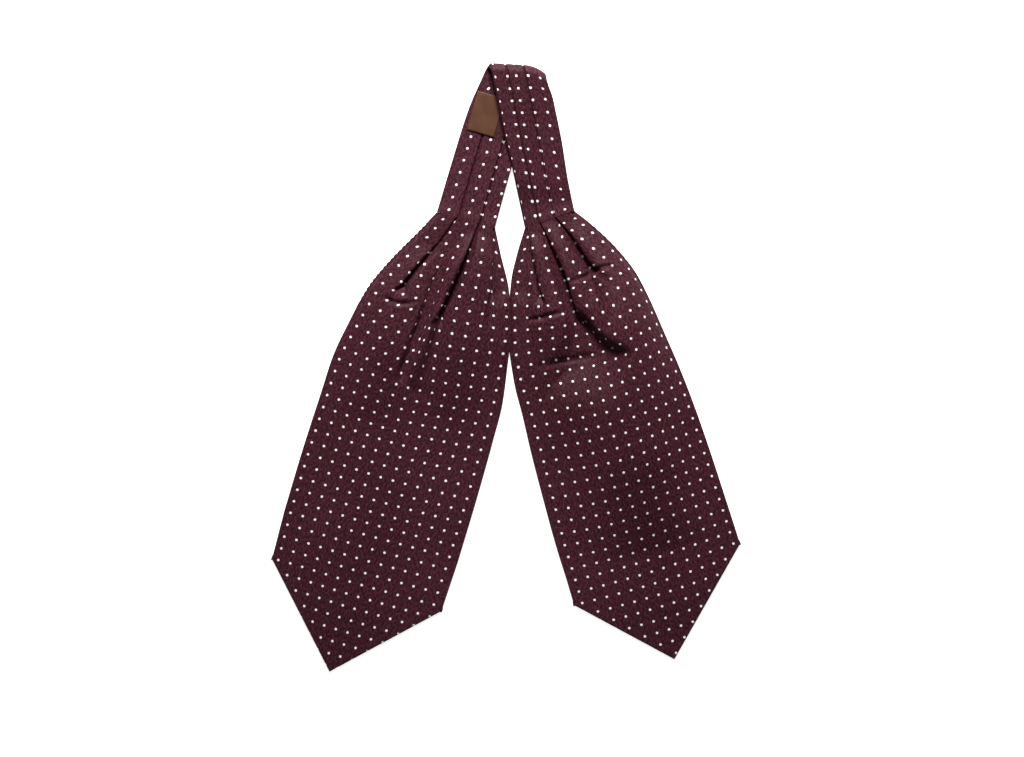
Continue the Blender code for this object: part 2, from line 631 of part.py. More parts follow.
def neckband(material):
    left = band_outline("left")
    right = band_outline("right")
    knots = 0.5 * (left[:, 1] + right[:, 1])
    knots = (knots - knots[0]) / (knots[-1] - knots[0])
    rings = []
    for share in band_shares(knots):
        low = np.array([through(knots, left[:, k], share) for k in (0, 1)])
        high = np.array([through(knots, right[:, k], share) for k in (0, 1)])
        width = np.linalg.norm(high - low)
        across = (high - low) / width
        inset = BAND_CUT * (1 - 2 * share) if share in (0.0, 1.0) else 0.0
        low = low + np.array([0.0, inset])
        line = band_path(share, width)
        rows = []
        for side in thicken(line):
            flat = low + side[:, :1] * across
            rows.append(turned(flat[:, 0], flat[:, 1], side[:, 1]))
        rings.append(rows)
    return make_object("neckband", ring_points(rings), wall_faces(rings), material)


def band_shares(knots):
    """Stations along the band, closest where it turns over."""
    start = knots[3] - BAND_TURN_SHARE
    finish = knots[3] + BAND_TURN_SHARE
    lower = np.linspace(0.0, start, BAND_COUNTS["lower"], endpoint=False)
    turn = np.linspace(start, finish, BAND_COUNTS["turn"])
    upper = np.linspace(finish, 1.0, BAND_COUNTS["upper"])[1:]
    return np.concatenate([lower, turn, upper])


def label(material):
    """A plain satin label with rounded corners, lying on the lower run."""
    lean = math.radians(LABEL["lean"])
    half_width = LABEL["width"] / 2
    half_height = LABEL["height"] / 2
    radius = LABEL["round"]
    base = 2 * BAND_HALF_STACK + SEAM_GAP
    outline = []
    for index, (sign_x, sign_y) in enumerate(LABEL_CORNERS):
        for step in range(3):
            turn = math.radians(90 * index + 45 * step)
            x = sign_x * (half_width - radius) + radius * math.cos(turn)
            y = sign_y * (half_height - radius) + radius * math.sin(turn)
            outline.append((LABEL["place"][0] + x * math.cos(lean) + y * math.sin(lean),
                            LABEL["place"][1] - x * math.sin(lean) + y * math.cos(lean)))
    count = len(outline)
    vertices = [(x, y, base) for x, y in outline] + [(x, y, base + LABEL["thick"]) for x, y in outline]
    faces = [tuple(range(count)), tuple(range(count, 2 * count))]
    for k in range(count):
        following = (k + 1) % count
        faces.append((k, following, count + following, count + k))
    return make_object("label", vertices, faces, material)


def cloth_material(name, colour, roughness):
    material = bpy.data.materials.new(name)
    material.use_nodes = True
    shader = material.node_tree.nodes["Principled BSDF"]
    shader.inputs["Base Color"].default_value = colour
    shader.inputs["Roughness"].default_value = roughness
    shader.inputs["Metallic"].default_value = 0.0
    return material


def main():
    for old in list(bpy.data.objects):
        bpy.data.objects.remove(old, do_unlink=True)
    silk = cloth_material("dark silk twill", COLOURS["silk"], 0.55)
    under = cloth_material("dark silk twill, under cloth", COLOURS["silk under"], 0.6)
    satin = cloth_material("brown satin", COLOURS["label"], 0.45)
    left = Blade(LEFT_SECTIONS, LEFT_CORNERS, LEFT_PLEATS, LEFT_FORMS, LEFT_STRETCHES, -1, RIDE_OVER)
    right = Blade(RIGHT_SECTIONS, RIGHT_CORNERS, RIGHT_PLEATS, RIGHT_FORMS, RIGHT_STRETCHES, 1, None)
    blade_face("left_blade_face", left, silk)
    blade_back("left_blade_back", left, under, BACK_LIMITS["left"])
    blade_face("right_blade_face", right, silk)
    blade_back("right_blade_back", right, under, BACK_LIMITS["right"])
    neckband(silk)
    label(satin)


main()
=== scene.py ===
# Silk cravat laid flat, folded in half at the back of the neck, its two blades fanned apart.
# Places are worked out in millimetres and turned to metres where a mesh is made.
import math

import bpy
import numpy as np
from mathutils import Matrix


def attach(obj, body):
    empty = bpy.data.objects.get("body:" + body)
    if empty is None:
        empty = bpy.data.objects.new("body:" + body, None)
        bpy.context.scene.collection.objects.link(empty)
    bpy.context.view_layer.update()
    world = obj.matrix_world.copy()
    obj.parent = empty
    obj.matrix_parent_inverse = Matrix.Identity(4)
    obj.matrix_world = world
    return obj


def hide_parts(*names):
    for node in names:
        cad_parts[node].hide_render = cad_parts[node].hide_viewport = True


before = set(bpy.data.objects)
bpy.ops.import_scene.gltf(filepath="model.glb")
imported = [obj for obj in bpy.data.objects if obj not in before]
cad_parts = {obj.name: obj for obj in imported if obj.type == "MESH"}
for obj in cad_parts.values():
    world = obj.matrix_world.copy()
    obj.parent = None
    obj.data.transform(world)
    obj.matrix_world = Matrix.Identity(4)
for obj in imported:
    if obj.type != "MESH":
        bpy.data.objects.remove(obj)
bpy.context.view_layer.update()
print("frame loaded")

mm = 0.001

cloth = {
    "wall": 1.0,            # two silks and the interlining between them
    "layer": 1.35,          # from one folded layer to the next
    "seamGap": 0.3,
    "foldRound": 0.675,     # radius of a folded edge at the middle of the wall
    "width": 167.0,         # full width of a blade, rim to rim
    "dotPitch": 11.92,      # pin dots, centre to centre, both ways
    "dotSize": 2.35,
    "firstDot": 6.0,        # first column of dots from a rim
}
stack = 2 * cloth["layer"]
faceBase = cloth["wall"] + cloth["seamGap"] + cloth["wall"] / 2

density = {
    "first": (0.02, 0.08, 0.8, 1.6),
    "pleated": (2.8, 130.0, 100),
    "lowerStart": 132.5,
    "lower": 72,
    "point": 48,
    "band": 2,
}

# How a blade's cloth goes from rim to rim
pleatShape = {
    "brink": 1.2,
    "footReach": 0.2,
    "openDepth": 4.0,       # a pleat shallower than this opens out
    "openReach": 6.0,       # half of the run it opens over
    "climb": 8.0,           # longest run in which a strip rises from under its neighbour
    "seamClimb": 2.2,       # that run at the seam, and how it grows down the blade
    "climbGrowth": 0.2,
    "wedgeFloor": 0.5,      # share of a dark wedge that stays right down
    "wedgeShare": 0.6,      # most of a strip that a wedge takes
    "room": 5.5,
    "fade": 30.0,
    "lastClimbBefore": 15.0,
    "lastClimbRun": 50.0,
    "stackFadeStart": 90.0,
    "stackFadeRun": 120.0,
    "rimRun": 6.0,
    "rimRoll": 0.65,        # radius of the rolled rim at the middle of the wall
    "rimInset": 0.35,
    "hem": 1.5,             # flat hem under the rim
    "pointTurns": (20, 40, 60, 80, 90, 110, 135, 160, 180),     # degrees round the rolled edge of the point
    "pointMargin": 0.5,     # flat cloth kept before the point's rolled edge
    "pointLeast": 0.2,
    "hemStart": 0.99,
    "lowest": 0.02,
    "calm": 14.0,           # the soft forms start this far in from a rim
    "calmRows": 10,         # points at each rim that never rise
    "crowd": 0.45,          # how much closer a strip's points are at its ends
    "bendEnd": 70.0,        # above this length the weft bends at the folds, a run below it no more
    "bendRun": 60.0,
    "rollPoints": 8,
    "foldPoints": 8,
    "rootPoints": 6,
    "pressPoints": 7,       # points over which a form dies away under a fold
}

formShape = {
    "steps": 48,            # pieces of a crest line
    "domePower": 0.7,
    "join": 0.35,           # share of the lower form that shows where two overlap
}

creaseShape = {
    "steps": 24,
    "swell": 1.2,           # low swell on each side of a trough
    "fall": 1.6,
}

leftBlade = {
    "side": -1,
    "sections": (
        # length below the seam, then outer rim, first, second and third folded edge, inner rim
        (0.0, (-65.5, 148.0), (-47.0, 143.0), (-26.0, 137.5), (-12.4, 133.6), (-10.4, 133.0)),
        (27.5, (-83.4, 129.5), (-63.0, 121.0), (-35.5, 113.0), (-12.0, 110.0), (-4.8, 107.0)),
        (63.0, (-108.8, 104.0), (-89.5, 91.0), (-49.0, 82.0), (-14.0, 74.0), (3.0, 72.0)),
        (99.0, (-130.8, 77.5), (-109.0, 63.5), (-64.0, 49.0), (-17.0, 39.5), (5.0, 37.5)),
        (135.0, (-148.6, 44.5), (-126.5, 32.5), (-78.0, 14.5), (-22.5, 4.0), (1.3, 1.5)),
        (170.5, (-164.0, 12.0), (-142.0, 1.5), (-90.0, -19.0), (-26.5, -30.0), (-3.3, -33.5)),
        (206.0, (-175.3, -22.5), (-153.0, -31.0), (-98.5, -49.5), (-35.3, -62.5), (-12.1, -68.0)),
        (266.0, (-193.4, -78.5), (-171.0, -85.5), (-115.5, -104.0), (-51.7, -121.0), (-28.5, -126.5)),
        (326.0, (-210.5, -135.9), (-187.8, -142.5), (-132.5, -160.0), (-69.4, -178.0), (-45.9, -184.5)),
    ),
    "corners": {"outer": (-222.3, -181.3), "tip": (-167.6, -288.4), "inner": (-61.3, -230.9)},
    # each pleat: depth of its layers and where they end, the cloth it takes up, until where and how evenly,
    # and the width of the dark wedge beside its edge, by length
    "pleats": (
        {"depth": 17.0, "end": 92.0, "take": 18.5, "takeEnd": 92.0, "takeShape": 1.3,
         "wedge": ((0, 0.8), (15, 3.5), (40, 4.5), (80, 5.5), (95, 4.0))},
        {"depth": 18.0, "end": 112.0, "take": 21.0, "takeEnd": 170.0, "takeShape": 1.1,
         "wedge": ((0, 0.8), (15, 4.0), (35, 9.0), (60, 11.0), (80, 10.0), (95, 4.0), (130, 3.0))},
        {"depth": 14.0, "end": 82.0, "take": 14.5, "takeEnd": 90.0, "takeShape": 1.2,
         "wedge": ((0, 0.8), (15, 3.0), (80, 3.5))},
    ),
    # the weft meets the seam at a slant: how far it is ahead at the outer and at the inner rim, by length
    "slant": ((0, -3.7, 2.5), (30, -2.5, 0.8), (60, -1.6, -1.2), (110, -1.5, -0.8), (150, -0.8, -0.5),
              (206, -0.8, 0.0), (266, -1.9, 0.4), (296, -1.8, 1.8), (326, -0.5, 2.6), (350, 0.0, 2.6),
              (380, 1.3, 2.4), (420, 2.4, 2.4)),
    # cloth eased in at the outer and the inner rim, and how far the middle is drawn outwards, by length
    "ease": ((0, 4.8, -1.5, 0.0), (100, 4.8, -1.5, 0.0), (135, 3.0, 0.0, 0.0), (165, 1.0, 2.0, 0.0),
             (200, 0.2, 2.6, 0.0), (330, 0.0, 2.6, 0.0)),
    "firstRow": 3.6,
    "scallop": {"pitch": 5.3, "depth": 0.75, "from": 8.0, "to": 120.0, "fade": 12.0},   # hand-sewn outer rim
    "strips": (18, 30, 30, 16),
    # soft forms: place on the crest, height, reach outwards and inwards, crown
    "forms": {
        "outer swell": (
            ((-70.0, 114.0), 0.0, 18.0, 14.0, 0.3),
            ((-84.0, 92.0), 5.0, 26.0, 26.0, 0.5),
            ((-97.0, 62.0), 7.5, 34.0, 40.0, 0.7),
            ((-107.0, 28.0), 7.5, 42.0, 44.0, 0.6),
            ((-122.0, -8.0), 4.5, 44.0, 46.0, 0.2),
            ((-137.0, -48.0), 0.0, 40.0, 40.0, 0.0),
        ),
        "inner swell": (
            ((-24.0, 128.0), 0.0, 10.0, 12.0, 0.4),
            ((-32.0, 108.0), 6.0, 18.0, 30.0, 0.6),
            ((-38.0, 84.0), 8.5, 22.0, 36.0, 0.5),
            ((-42.0, 48.0), 7.0, 30.0, 38.0, 0.3),
            ((-48.0, 6.0), 4.5, 38.0, 40.0, 0.1),
            ((-58.0, -48.0), 0.0, 44.0, 40.0, 0.0),
        ),
        "opened pleat": (
            ((-33.0, 124.0), 0.0, 8.0, 8.0, 0.3),
            ((-44.0, 102.0), 6.0, 12.0, 9.0, 0.4),
            ((-57.0, 74.0), 9.0, 9.0, 8.0, 0.4),
            ((-69.0, 43.0), 10.0, 9.0, 8.0, 0.3),
            ((-81.0, 10.0), 6.5, 11.0, 11.0, 0.1),
            ((-90.0, -24.0), 0.0, 14.0, 14.0, 0.0),
        ),
        "hollow beside it": (
            ((-60.0, 96.0), 0.0, 4.0, 4.0, 0.6),
            ((-66.5, 80.0), -13.0, 5.0, 5.0, 0.9),
            ((-78.5, 46.0), -16.0, 5.5, 5.5, 0.9),
            ((-91.0, 13.0), -12.0, 6.0, 5.5, 0.7),
            ((-101.0, -16.0), 0.0, 8.0, 8.0, 0.0),
        ),
    },
    # small creases: places along it with depth (below 0 a trough) and width
    "creases": (
        (((-118.0, 68.5), 0.0, 3.5), ((-107.0, 62.7), -2.2, 3.5), ((-97.0, 60.7), -2.0, 3.5),
         ((-82.0, 63.6), 0.0, 3.5)),
        (((-104.0, -10.0), 0.0, 8.0), ((-80.0, -26.0), -0.7, 9.0), ((-50.0, -31.0), 0.0, 8.0)),
    ),
    "rideOver": {"centre": 44.0, "reach": 55.0, "height": 2.75, "run": 26.0, "quick": 1.6},
}

rightBlade = {
    "side": 1,
    "sections": (
        (0.0, (65.0, 149.0), (47.0, 143.0), (32.5, 138.0), (20.0, 133.6), (18.0, 133.0)),
        (26.0, (81.6, 136.0), (62.0, 125.5), (45.0, 112.5), (25.0, 109.0), (10.5, 108.0)),
        (56.0, (104.3, 114.5), (81.5, 97.0), (57.5, 84.0), (31.0, 79.5), (5.0, 83.0)),
        (86.0, (122.9, 91.0), (99.0, 78.5), (64.5, 59.5), (35.5, 53.0), (3.0, 54.0)),
        (116.0, (136.5, 65.0), (114.0, 52.5), (79.0, 33.0), (35.5, 27.5), (3.0, 24.0)),
        (151.5, (150.8, 32.5), (129.0, 20.5), (86.0, 3.0), (41.0, -4.5), (7.5, -12.0)),
        (187.0, (165.1, -0.5), (139.0, -14.0), (94.5, -29.5), (50.5, -39.0), (15.8, -45.5)),
        (223.0, (178.1, -34.0), (148.5, -47.0), (104.0, -63.5), (58.7, -73.0), (23.7, -79.5)),
        (270.5, (193.5, -78.0), (160.5, -90.5), (118.0, -108.5), (71.8, -119.0), (35.5, -125.0)),
        (318.5, (208.0, -122.5), (173.3, -133.5), (128.3, -151.0), (82.6, -164.0), (47.9, -170.0)),
        (350.0, (217.3, -151.2), (183.8, -163.0), (136.5, -179.0), (92.2, -191.5), (57.4, -200.3)),
    ),
    "corners": {"outer": (222.3, -166.9), "tip": (159.9, -276.6), "inner": (64.6, -225.2)},
    "pleats": (
        {"depth": 15.0, "end": 68.0, "take": 16.5, "takeEnd": 75.0, "takeShape": 0.9,
         "wedge": ((0, 0.8), (15, 4.0), (30, 6.5), (55, 7.0), (70, 4.5))},
        {"depth": 18.0, "end": 112.0, "take": 19.5, "takeEnd": 122.0, "takeShape": 2.6,
         "wedge": ((0, 0.8), (15, 6.0), (30, 10.0), (60, 12.5), (100, 12.5), (130, 9.0))},
        {"depth": 14.0, "end": 82.0, "take": 14.5, "takeEnd": 84.0, "takeShape": 1.9,
         "wedge": ((0, 0.8), (12, 5.0), (25, 7.5), (45, 7.5), (65, 3.0))},
    ),
    "slant": ((0, -2.0, -1.8), (40, -1.2, -0.8), (80, -0.3, -0.5), (110, -0.5, -1.2), (150, -0.3, -0.3),
              (270, -0.8, 0.5), (330, -0.3, 0.3), (365, 1.9, 1.5), (400, 3.2, 3.3), (435, 4.6, 4.6)),
    "ease": ((0, 1.7, 0.0, 0.0), (30, 1.2, 0.0, 0.0), (60, 0.0, 0.0, 0.0), (116, 0.0, 0.0, 1.0),
             (151, 0.0, 0.4, 2.3), (187, 0.0, 2.4, 2.0), (223, 0.0, 3.2, 1.9), (270, 0.0, 2.9, 1.0),
             (318, 0.0, 1.9, 1.0), (350, 0.0, 1.7, 0.8)),
    "firstRow": 8.3,
    "scallop": {"pitch": 6.1, "depth": 0.3, "from": 8.0, "to": 90.0, "fade": 20.0},
    "strips": (26, 26, 26, 16),
    "forms": {
        "shoulder": (
            ((58.0, 138.0), 0.0, 12.0, 10.0, 0.3),
            ((69.0, 124.0), 4.0, 16.0, 12.0, 0.4),
            ((82.0, 106.0), 8.0, 20.0, 14.0, 0.4),
            ((100.0, 78.0), 14.0, 27.0, 22.0, 0.5),
            ((111.0, 25.0), 21.0, 40.0, 40.0, 0.6),
            ((119.0, -24.0), 21.0, 51.0, 86.0, 0.5),
            ((130.0, -76.0), 19.0, 58.0, 98.0, 0.1),
            ((139.0, -124.0), 11.0, 62.0, 96.0, 0.0),
            ((150.0, -172.0), 0.0, 62.0, 90.0, 0.0),
        ),
        "middle swell": (
            ((38.0, 138.0), 0.0, 8.0, 8.0, 0.3),
            ((50.0, 113.0), 6.5, 16.0, 11.0, 0.5),
            ((61.0, 85.0), 9.5, 22.0, 13.0, 0.5),
            ((72.0, 59.0), 10.5, 26.0, 14.0, 0.4),
            ((86.0, 36.0), 5.0, 26.0, 14.0, 0.2),
            ((96.0, 22.0), 0.0, 20.0, 14.0, 0.0),
        ),
        "inner swell": (
            ((24.0, 128.0), 0.0, 8.0, 8.0, 0.3),
            ((31.0, 106.0), 5.5, 14.0, 12.0, 0.6),
            ((38.0, 80.0), 7.5, 20.0, 18.0, 0.7),
            ((45.0, 54.0), 8.5, 24.0, 26.0, 0.6),
            ((56.0, 20.0), 6.5, 36.0, 38.0, 0.2),
            ((62.0, -20.0), 0.0, 40.0, 44.0, 0.0),
        ),
        "dent under the middle pleat": (
            ((64.0, 56.0), 0.0, 6.0, 10.0, 0.0),
            ((74.0, 40.0), -8.0, 9.0, 30.0, 0.2),
            ((86.0, 25.0), -12.0, 10.0, 60.0, 0.2),
            ((102.0, 15.0), -10.0, 10.0, 66.0, 0.1),
            ((120.0, 10.0), 0.0, 8.0, 40.0, 0.0),
        ),
    },
    "creases": (
        (((57.0, 80.0), 0.0, 3.5), ((77.0, 87.4), -2.4, 3.5), ((91.0, 95.0), -2.0, 3.5),
         ((99.0, 96.0), -1.8, 3.5), ((106.0, 88.4), -1.4, 4.0), ((112.0, 80.0), 0.0, 4.0)),
        (((16.0, 44.5), 0.0, 3.5), ((32.0, 47.0), -2.6, 3.5), ((42.0, 50.0), -2.4, 3.5),
         ((57.0, 54.0), 0.0, 3.5)),
        (((24.0, 0.0), 0.0, 4.5), ((46.6, 4.7), -2.8, 4.5), ((71.0, 9.5), -2.8, 4.5),
         ((90.0, 12.0), 0.0, 4.5)),
    ),
    "rideOver": None,
}


def smooth(share):
    share = np.clip(share, 0.0, 1.0)
    return share * share * (3 - 2 * share)


def through(knots, values, at):
    # a smooth curve through the points that never overshoots them, straight past both ends
    knots = np.asarray(knots, float)
    values = np.asarray(values, float)
    at = np.asarray(at, float)
    step = np.diff(knots)
    rate = np.diff(values) / step
    slope = np.zeros(len(knots))
    same = rate[:-1] * rate[1:] > 0
    before = 2 * step[1:] + step[:-1]
    after = step[1:] + 2 * step[:-1]
    inner = np.zeros(len(rate) - 1)
    inner[same] = (before + after)[same] / (before[same] / rate[:-1][same] + after[same] / rate[1:][same])
    slope[1:-1] = inner
    slope[0] = rate[0]
    slope[-1] = rate[-1]
    index = np.clip(np.searchsorted(knots, at, side="right") - 1, 0, len(knots) - 2)
    run = knots[index + 1] - knots[index]
    share = np.clip((at - knots[index]) / run, 0.0, 1.0)
    curve = ((1 + 2 * share) * (1 - share) ** 2 * values[index]
             + share ** 2 * (3 - 2 * share) * values[index + 1]
             + share * (1 - share) ** 2 * run * slope[index]
             + share ** 2 * (share - 1) * run * slope[index + 1])
    return curve + np.minimum(at - knots[0], 0.0) * slope[0] + np.maximum(at - knots[-1], 0.0) * slope[-1]


def nearestOnLine(corners, places, steps):
    # for each place: how far along a smooth line through the corners, the offset from it and its direction
    corners = np.array(corners, float)
    knots = np.concatenate([[0.0], np.cumsum(np.linalg.norm(np.diff(corners, axis=0), axis=1))])
    travel = np.linspace(0.0, knots[-1], steps + 1)
    line = np.column_stack([through(knots, corners[:, k], travel) for k in (0, 1)])
    step = np.diff(line, axis=0)
    length = np.linalg.norm(step, axis=1)
    away = places[:, None, :] - line[None, :-1, :]
    share = np.clip((away * step).sum(axis=2) / length ** 2, 0.0, 1.0)
    offset = away - share[:, :, None] * step
    near = np.argmin((offset ** 2).sum(axis=2), axis=1)
    each = np.arange(len(places))
    at = travel[near] + share[each, near] * length[near]
    return knots, at, offset[each, near], step[near] / length[near][:, None]


def formHeight(rows, places, side):
    knots, at, offset, along = nearestOnLine([row[0] for row in rows], places, formShape["steps"])
    height, outward, inward, crown = (through(knots, [row[k] for row in rows], at) for k in (1, 2, 3, 4))
    outer = side * (offset[:, 0] * -along[:, 1] + offset[:, 1] * along[:, 0]) > 0
    across = np.clip(np.linalg.norm(offset, axis=1) / np.where(outer, outward, inward), 0.0, 1.0)
    wave = 0.5 + 0.5 * np.cos(math.pi * across)
    dome = (1 - across ** 2) ** formShape["domePower"]
    return height * ((1 - crown) * wave + crown * dome)


def relief(blade, places):
    raised = np.zeros(len(places))
    sunken = np.zeros(len(places))
    for rows in blade["forms"].values():
        found = formHeight(rows, places, blade["side"])
        if max(row[1] for row in rows) > 0:
            raised = np.maximum(raised, found) + formShape["join"] * np.minimum(raised, found)
        else:
            sunken = sunken + found
    return np.maximum(raised + sunken, 0.0)


def creaseHeight(blade, places):
    # narrow troughs with a low swell on each side
    total = np.zeros(len(places))
    for rows in blade["creases"]:
        knots, at, offset = nearestOnLine([row[0] for row in rows], places, creaseShape["steps"])[:3]
        depth, width = (through(knots, [row[k] for row in rows], at) for k in (1, 2))
        across = np.linalg.norm(offset, axis=1) / width
        trough = 1 - creaseShape["swell"] * across ** 2
        total = total + depth * trough * np.exp(-across ** 2 * creaseShape["fall"])
    return total


def sectionMarks(blade, length):
    lengths = [row[0] for row in blade["sections"]]
    points = np.array([[through(lengths, [row[k + 1][axis] for row in blade["sections"]], length)
                        for axis in (0, 1)] for k in range(5)])
    steps = np.maximum(np.linalg.norm(np.diff(points, axis=0), axis=1), 0.05)
    return points, np.concatenate([[0.0], np.cumsum(steps)])


def placeAcross(points, marks, across, length):
    # plan places of distances across; the weft bends at the folds near the seam and runs smoothly lower down
    straight = np.stack([np.interp(across, marks, points[:, k]) for k in (0, 1)], axis=-1)
    curved = np.stack([through(marks, points[:, k], np.clip(across, 0.0, marks[4])) for k in (0, 1)], axis=-1)
    share = float(smooth((length - pleatShape["bendEnd"]) / pleatShape["bendRun"]))
    first = (points[1] - points[0]) / np.linalg.norm(points[1] - points[0])
    last = (points[4] - points[2]) / np.linalg.norm(points[4] - points[2])
    beyond = (np.minimum(across, 0.0)[:, None] * first + np.maximum(across - marks[4], 0.0)[:, None] * last)
    return (1 - share) * straight + share * curved + beyond


def arc(centre, radius, start, finish, count):
    turns = np.radians(np.linspace(start, finish, count))
    return [(centre[0] + radius * math.cos(t), centre[1] + radius * math.sin(t)) for t in turns]


def halfTurn(x, z, wide, high, finish, count):
    # half of an upright oval round a place, from its top
    circle = arc((x, z), 1.0, 90, finish, count)
    return [(x + (across - x) * wide, z + (up - z) * high) for across, up in circle]


def spaced(count):
    # shares of a strip, closer together at both ends
    share = np.linspace(0.0, 1.0, count + 2)[1:-1]
    crowd = pleatShape["crowd"]
    return (1 - crowd) * share + crowd * smooth(share)


def scallopAt(shape, length):
    # how far the stitches draw in the outer rim
    begin = smooth((length - shape["from"]) / shape["fade"])
    end = smooth((shape["to"] - length) / shape["fade"])
    wave = 0.5 - 0.5 * math.cos(2 * math.pi * length / shape["pitch"])
    return float(begin * end) * shape["depth"] * wave ** 2


def wedgeRise(distance, width):
    # how far the soft forms have come up at a distance from the foot of a folded edge
    floor = pleatShape["wedgeFloor"]
    return float(smooth((distance / width - floor) / (1 - floor)))


def sectionPath(blade, length):
    # the wall's middle line in one section, and the part of each pleat that is out of sight
    points, marks = sectionMarks(blade, length)
    form = pleatShape
    top = float(stack * (1 - smooth((length - form["stackFadeStart"]) / form["stackFadeRun"])))
    turn = cloth["foldRound"]
    roll = form["rimRoll"]
    edge = form["rimInset"] + roll
    outerEdge = edge + scallopAt(blade["scallop"], length)
    line = [(outerEdge + form["hem"] * (1 - k / 2), -2 * roll) for k in range(2)]
    line += arc((outerEdge, -roll), roll, 270, 90, form["rollPoints"])
    press = []                                     # share of the soft forms at each point
    rimStart = len(line) - form["rollPoints"] // 2     # the outermost point of the roll
    rim = min(form["rimRun"], max(0.3 * marks[1], outerEdge + 1.0))
    for k in range(1, 6):
        across = outerEdge + (rim - outerEdge) * k / 5
        line.append((across, top * float(smooth((across - outerEdge) / (rim - outerEdge)))))
    level = rim
    low = top
    hidden = []
    press += [1.0] * len(line)
    folded = 0.0
    wedge = 1.0
    for index, pleat in enumerate(blade["pleats"]):
        gap = marks[index + 1] - marks[index]
        nextGap = marks[index + 2] - marks[index + 1]
        before = folded
        room = gap - form["room"]
        depth = max(min(pleat["depth"] * max(1 - length / pleat["end"], 0.0) ** 0.9, room), 0.0)
        drop = top * (1 - float(smooth((length - pleat["end"]) / form["fade"])))
        folded = float(smooth(depth / form["openDepth"]))
        mark = marks[index + 1] - folded * (turn + cloth["wall"] / 2)
        reach = min(form["openReach"], 0.3 * gap, 0.3 * nextGap)
        start = mark - folded * form["brink"] - (1 - folded) * (reach + 0.3)
        run = start - level
        climb = min(0.5 * run, form["climb"], form["seamClimb"] + form["climbGrowth"] * length)
        for share in spaced(blade["strips"][index]):
            across = level + share * run
            rise = float(smooth((across - level) / climb)) if index else 1.0
            line.append((across, low + (top - low) * rise))
            press.append(1 - before * (1 - wedgeRise(across - level, min(wedge, form["wedgeShare"] * run))))
        line.append((start, top))
        press.append(1.0)
        base = mark - depth
        half = drop / 2
        # over the folded edge, back to the pleat's root, and out again to the foot
        closed = halfTurn(mark, top - half / 2, turn, half / 2, -90, form["foldPoints"])
        closed += [(mark + (base - mark) * k / 3, top - half) for k in (1, 2)]
        closed += halfTurn(base, top - 1.5 * half, turn, half / 2, 270, form["rootPoints"])
        closed += [(base + (mark - base) * k / 3, top - drop) for k in (1, 2)]
        closed.append((marks[index + 1] + form["footReach"], top - drop))
        first = len(line) + 1                      # the fold turns out of sight here
        count = len(closed)
        for order, (x, z) in enumerate(closed):
            openX = marks[index + 1] - reach + 2 * reach * order / (count - 1)
            near = np.clip((openX - marks[index + 1] - 0.5) / reach, -1.0, 1.0)
            openZ = top - drop * (0.5 + 0.5 * math.cos(math.pi * near)) * 0.75
            line.append((openX + folded * (x - openX), openZ + folded * (z - openZ)))
            press.append(1 - folded * float(smooth(order / form["pressPoints"])))
        wedge = float(column(pleat["wedge"], length)[0])
        level = line[-1][0]
        hidden.append((first, len(line) - 1, folded, pleat))
        low = line[-1][1]
        if index == 2:
            rise = float(smooth((length - pleat["end"] + form["lastClimbBefore"]) / form["lastClimbRun"]))
            top = low + (top - low) * rise
    finish = marks[4]
    rim = min(form["rimRun"], max(0.4 * (finish - level), edge + 0.3))
    last = finish - rim
    level = min(level, last - 0.3)
    for share in spaced(blade["strips"][3]):
        across = level + share * (last - level)
        line.append((across, low + (top - low) * float(smooth(share / 0.5))))
        press.append(1 - folded * (1 - wedgeRise(across - level, wedge)))
    line.append((last, top))
    for k in range(1, 5):
        across = last + (rim - edge) * k / 5
        line.append((across, top * (1 - float(smooth((across - last) / (rim - edge))))))
    line += arc((finish - edge, -roll), roll, 90, -90, form["rollPoints"])
    rimEnd = len(line) - form["rollPoints"] // 2 - 1
    line += [(finish - edge - form["hem"] * k / 2, -2 * roll) for k in (1, 2)]
    press += [1.0] * (len(line) - len(press))
    return points, marks, np.array(line), hidden, (rimStart, rimEnd), np.array(press)


def liftOf(blade, places, line, marks, press):
    across = line[:, 0]
    edge = np.minimum(across, marks[4] - across)
    calm = np.clip((edge - 1.0) / pleatShape["calm"], 0.0, 1.0)
    calm = np.sqrt(np.clip(1 - (1 - calm) ** 2, 0.0, 1.0))
    calm[:pleatShape["calmRows"]] = 0.0
    calm[-pleatShape["calmRows"]:] = 0.0
    height = (relief(blade, places) + creaseHeight(blade, places)) * calm * press
    ride = blade["rideOver"]
    if ride:
        near = smooth(1 - (marks[4] - across) / ride["run"])
        beside = smooth(1 - np.abs(places[:, 1] - ride["centre"]) / ride["reach"])
        over = ride["height"] * near * np.minimum(ride["quick"] * beside, 1.0)
        height = np.maximum(height, over)
    return height


def clothAcross(blade, line, hidden, ends, length):
    # how far each point is across the cloth, with what the pleats take up
    step = np.linalg.norm(np.diff(line, axis=0), axis=1)
    for first, last, folded, pleat in hidden:
        take = pleat["take"] * (1 - min(length / pleat["takeEnd"], 1.0) ** pleat["takeShape"])
        part = step[first:last]
        own = part.sum()
        wanted = 2 * take + folded * (line[last, 0] - line[first, 0]) + (1 - folded) * own
        step[first:last] = part * wanted / own
    across = np.concatenate([[0.0], np.cumsum(step)])
    across = across - across[ends[0]]
    share = across / across[ends[1]]
    outer, inner, bow = column(blade["ease"], length)
    inside = np.clip(share, 0.0, 1.0)
    return share * cloth["width"] - outer * (1 - inside) + inner * inside + 4 * bow * inside * (1 - inside)


def column(rows, at):
    # the values of a table at a place or places in its first column
    return [np.interp(at, [row[0] for row in rows], [row[k] for row in rows]) for k in range(1, len(rows[0]))]


def clothAlong(rows, share, length):
    # how far a point is down the cloth
    outer, inner = column(rows, length)
    return length + outer + (inner - outer) * np.clip(share, 0.0, 1.0)


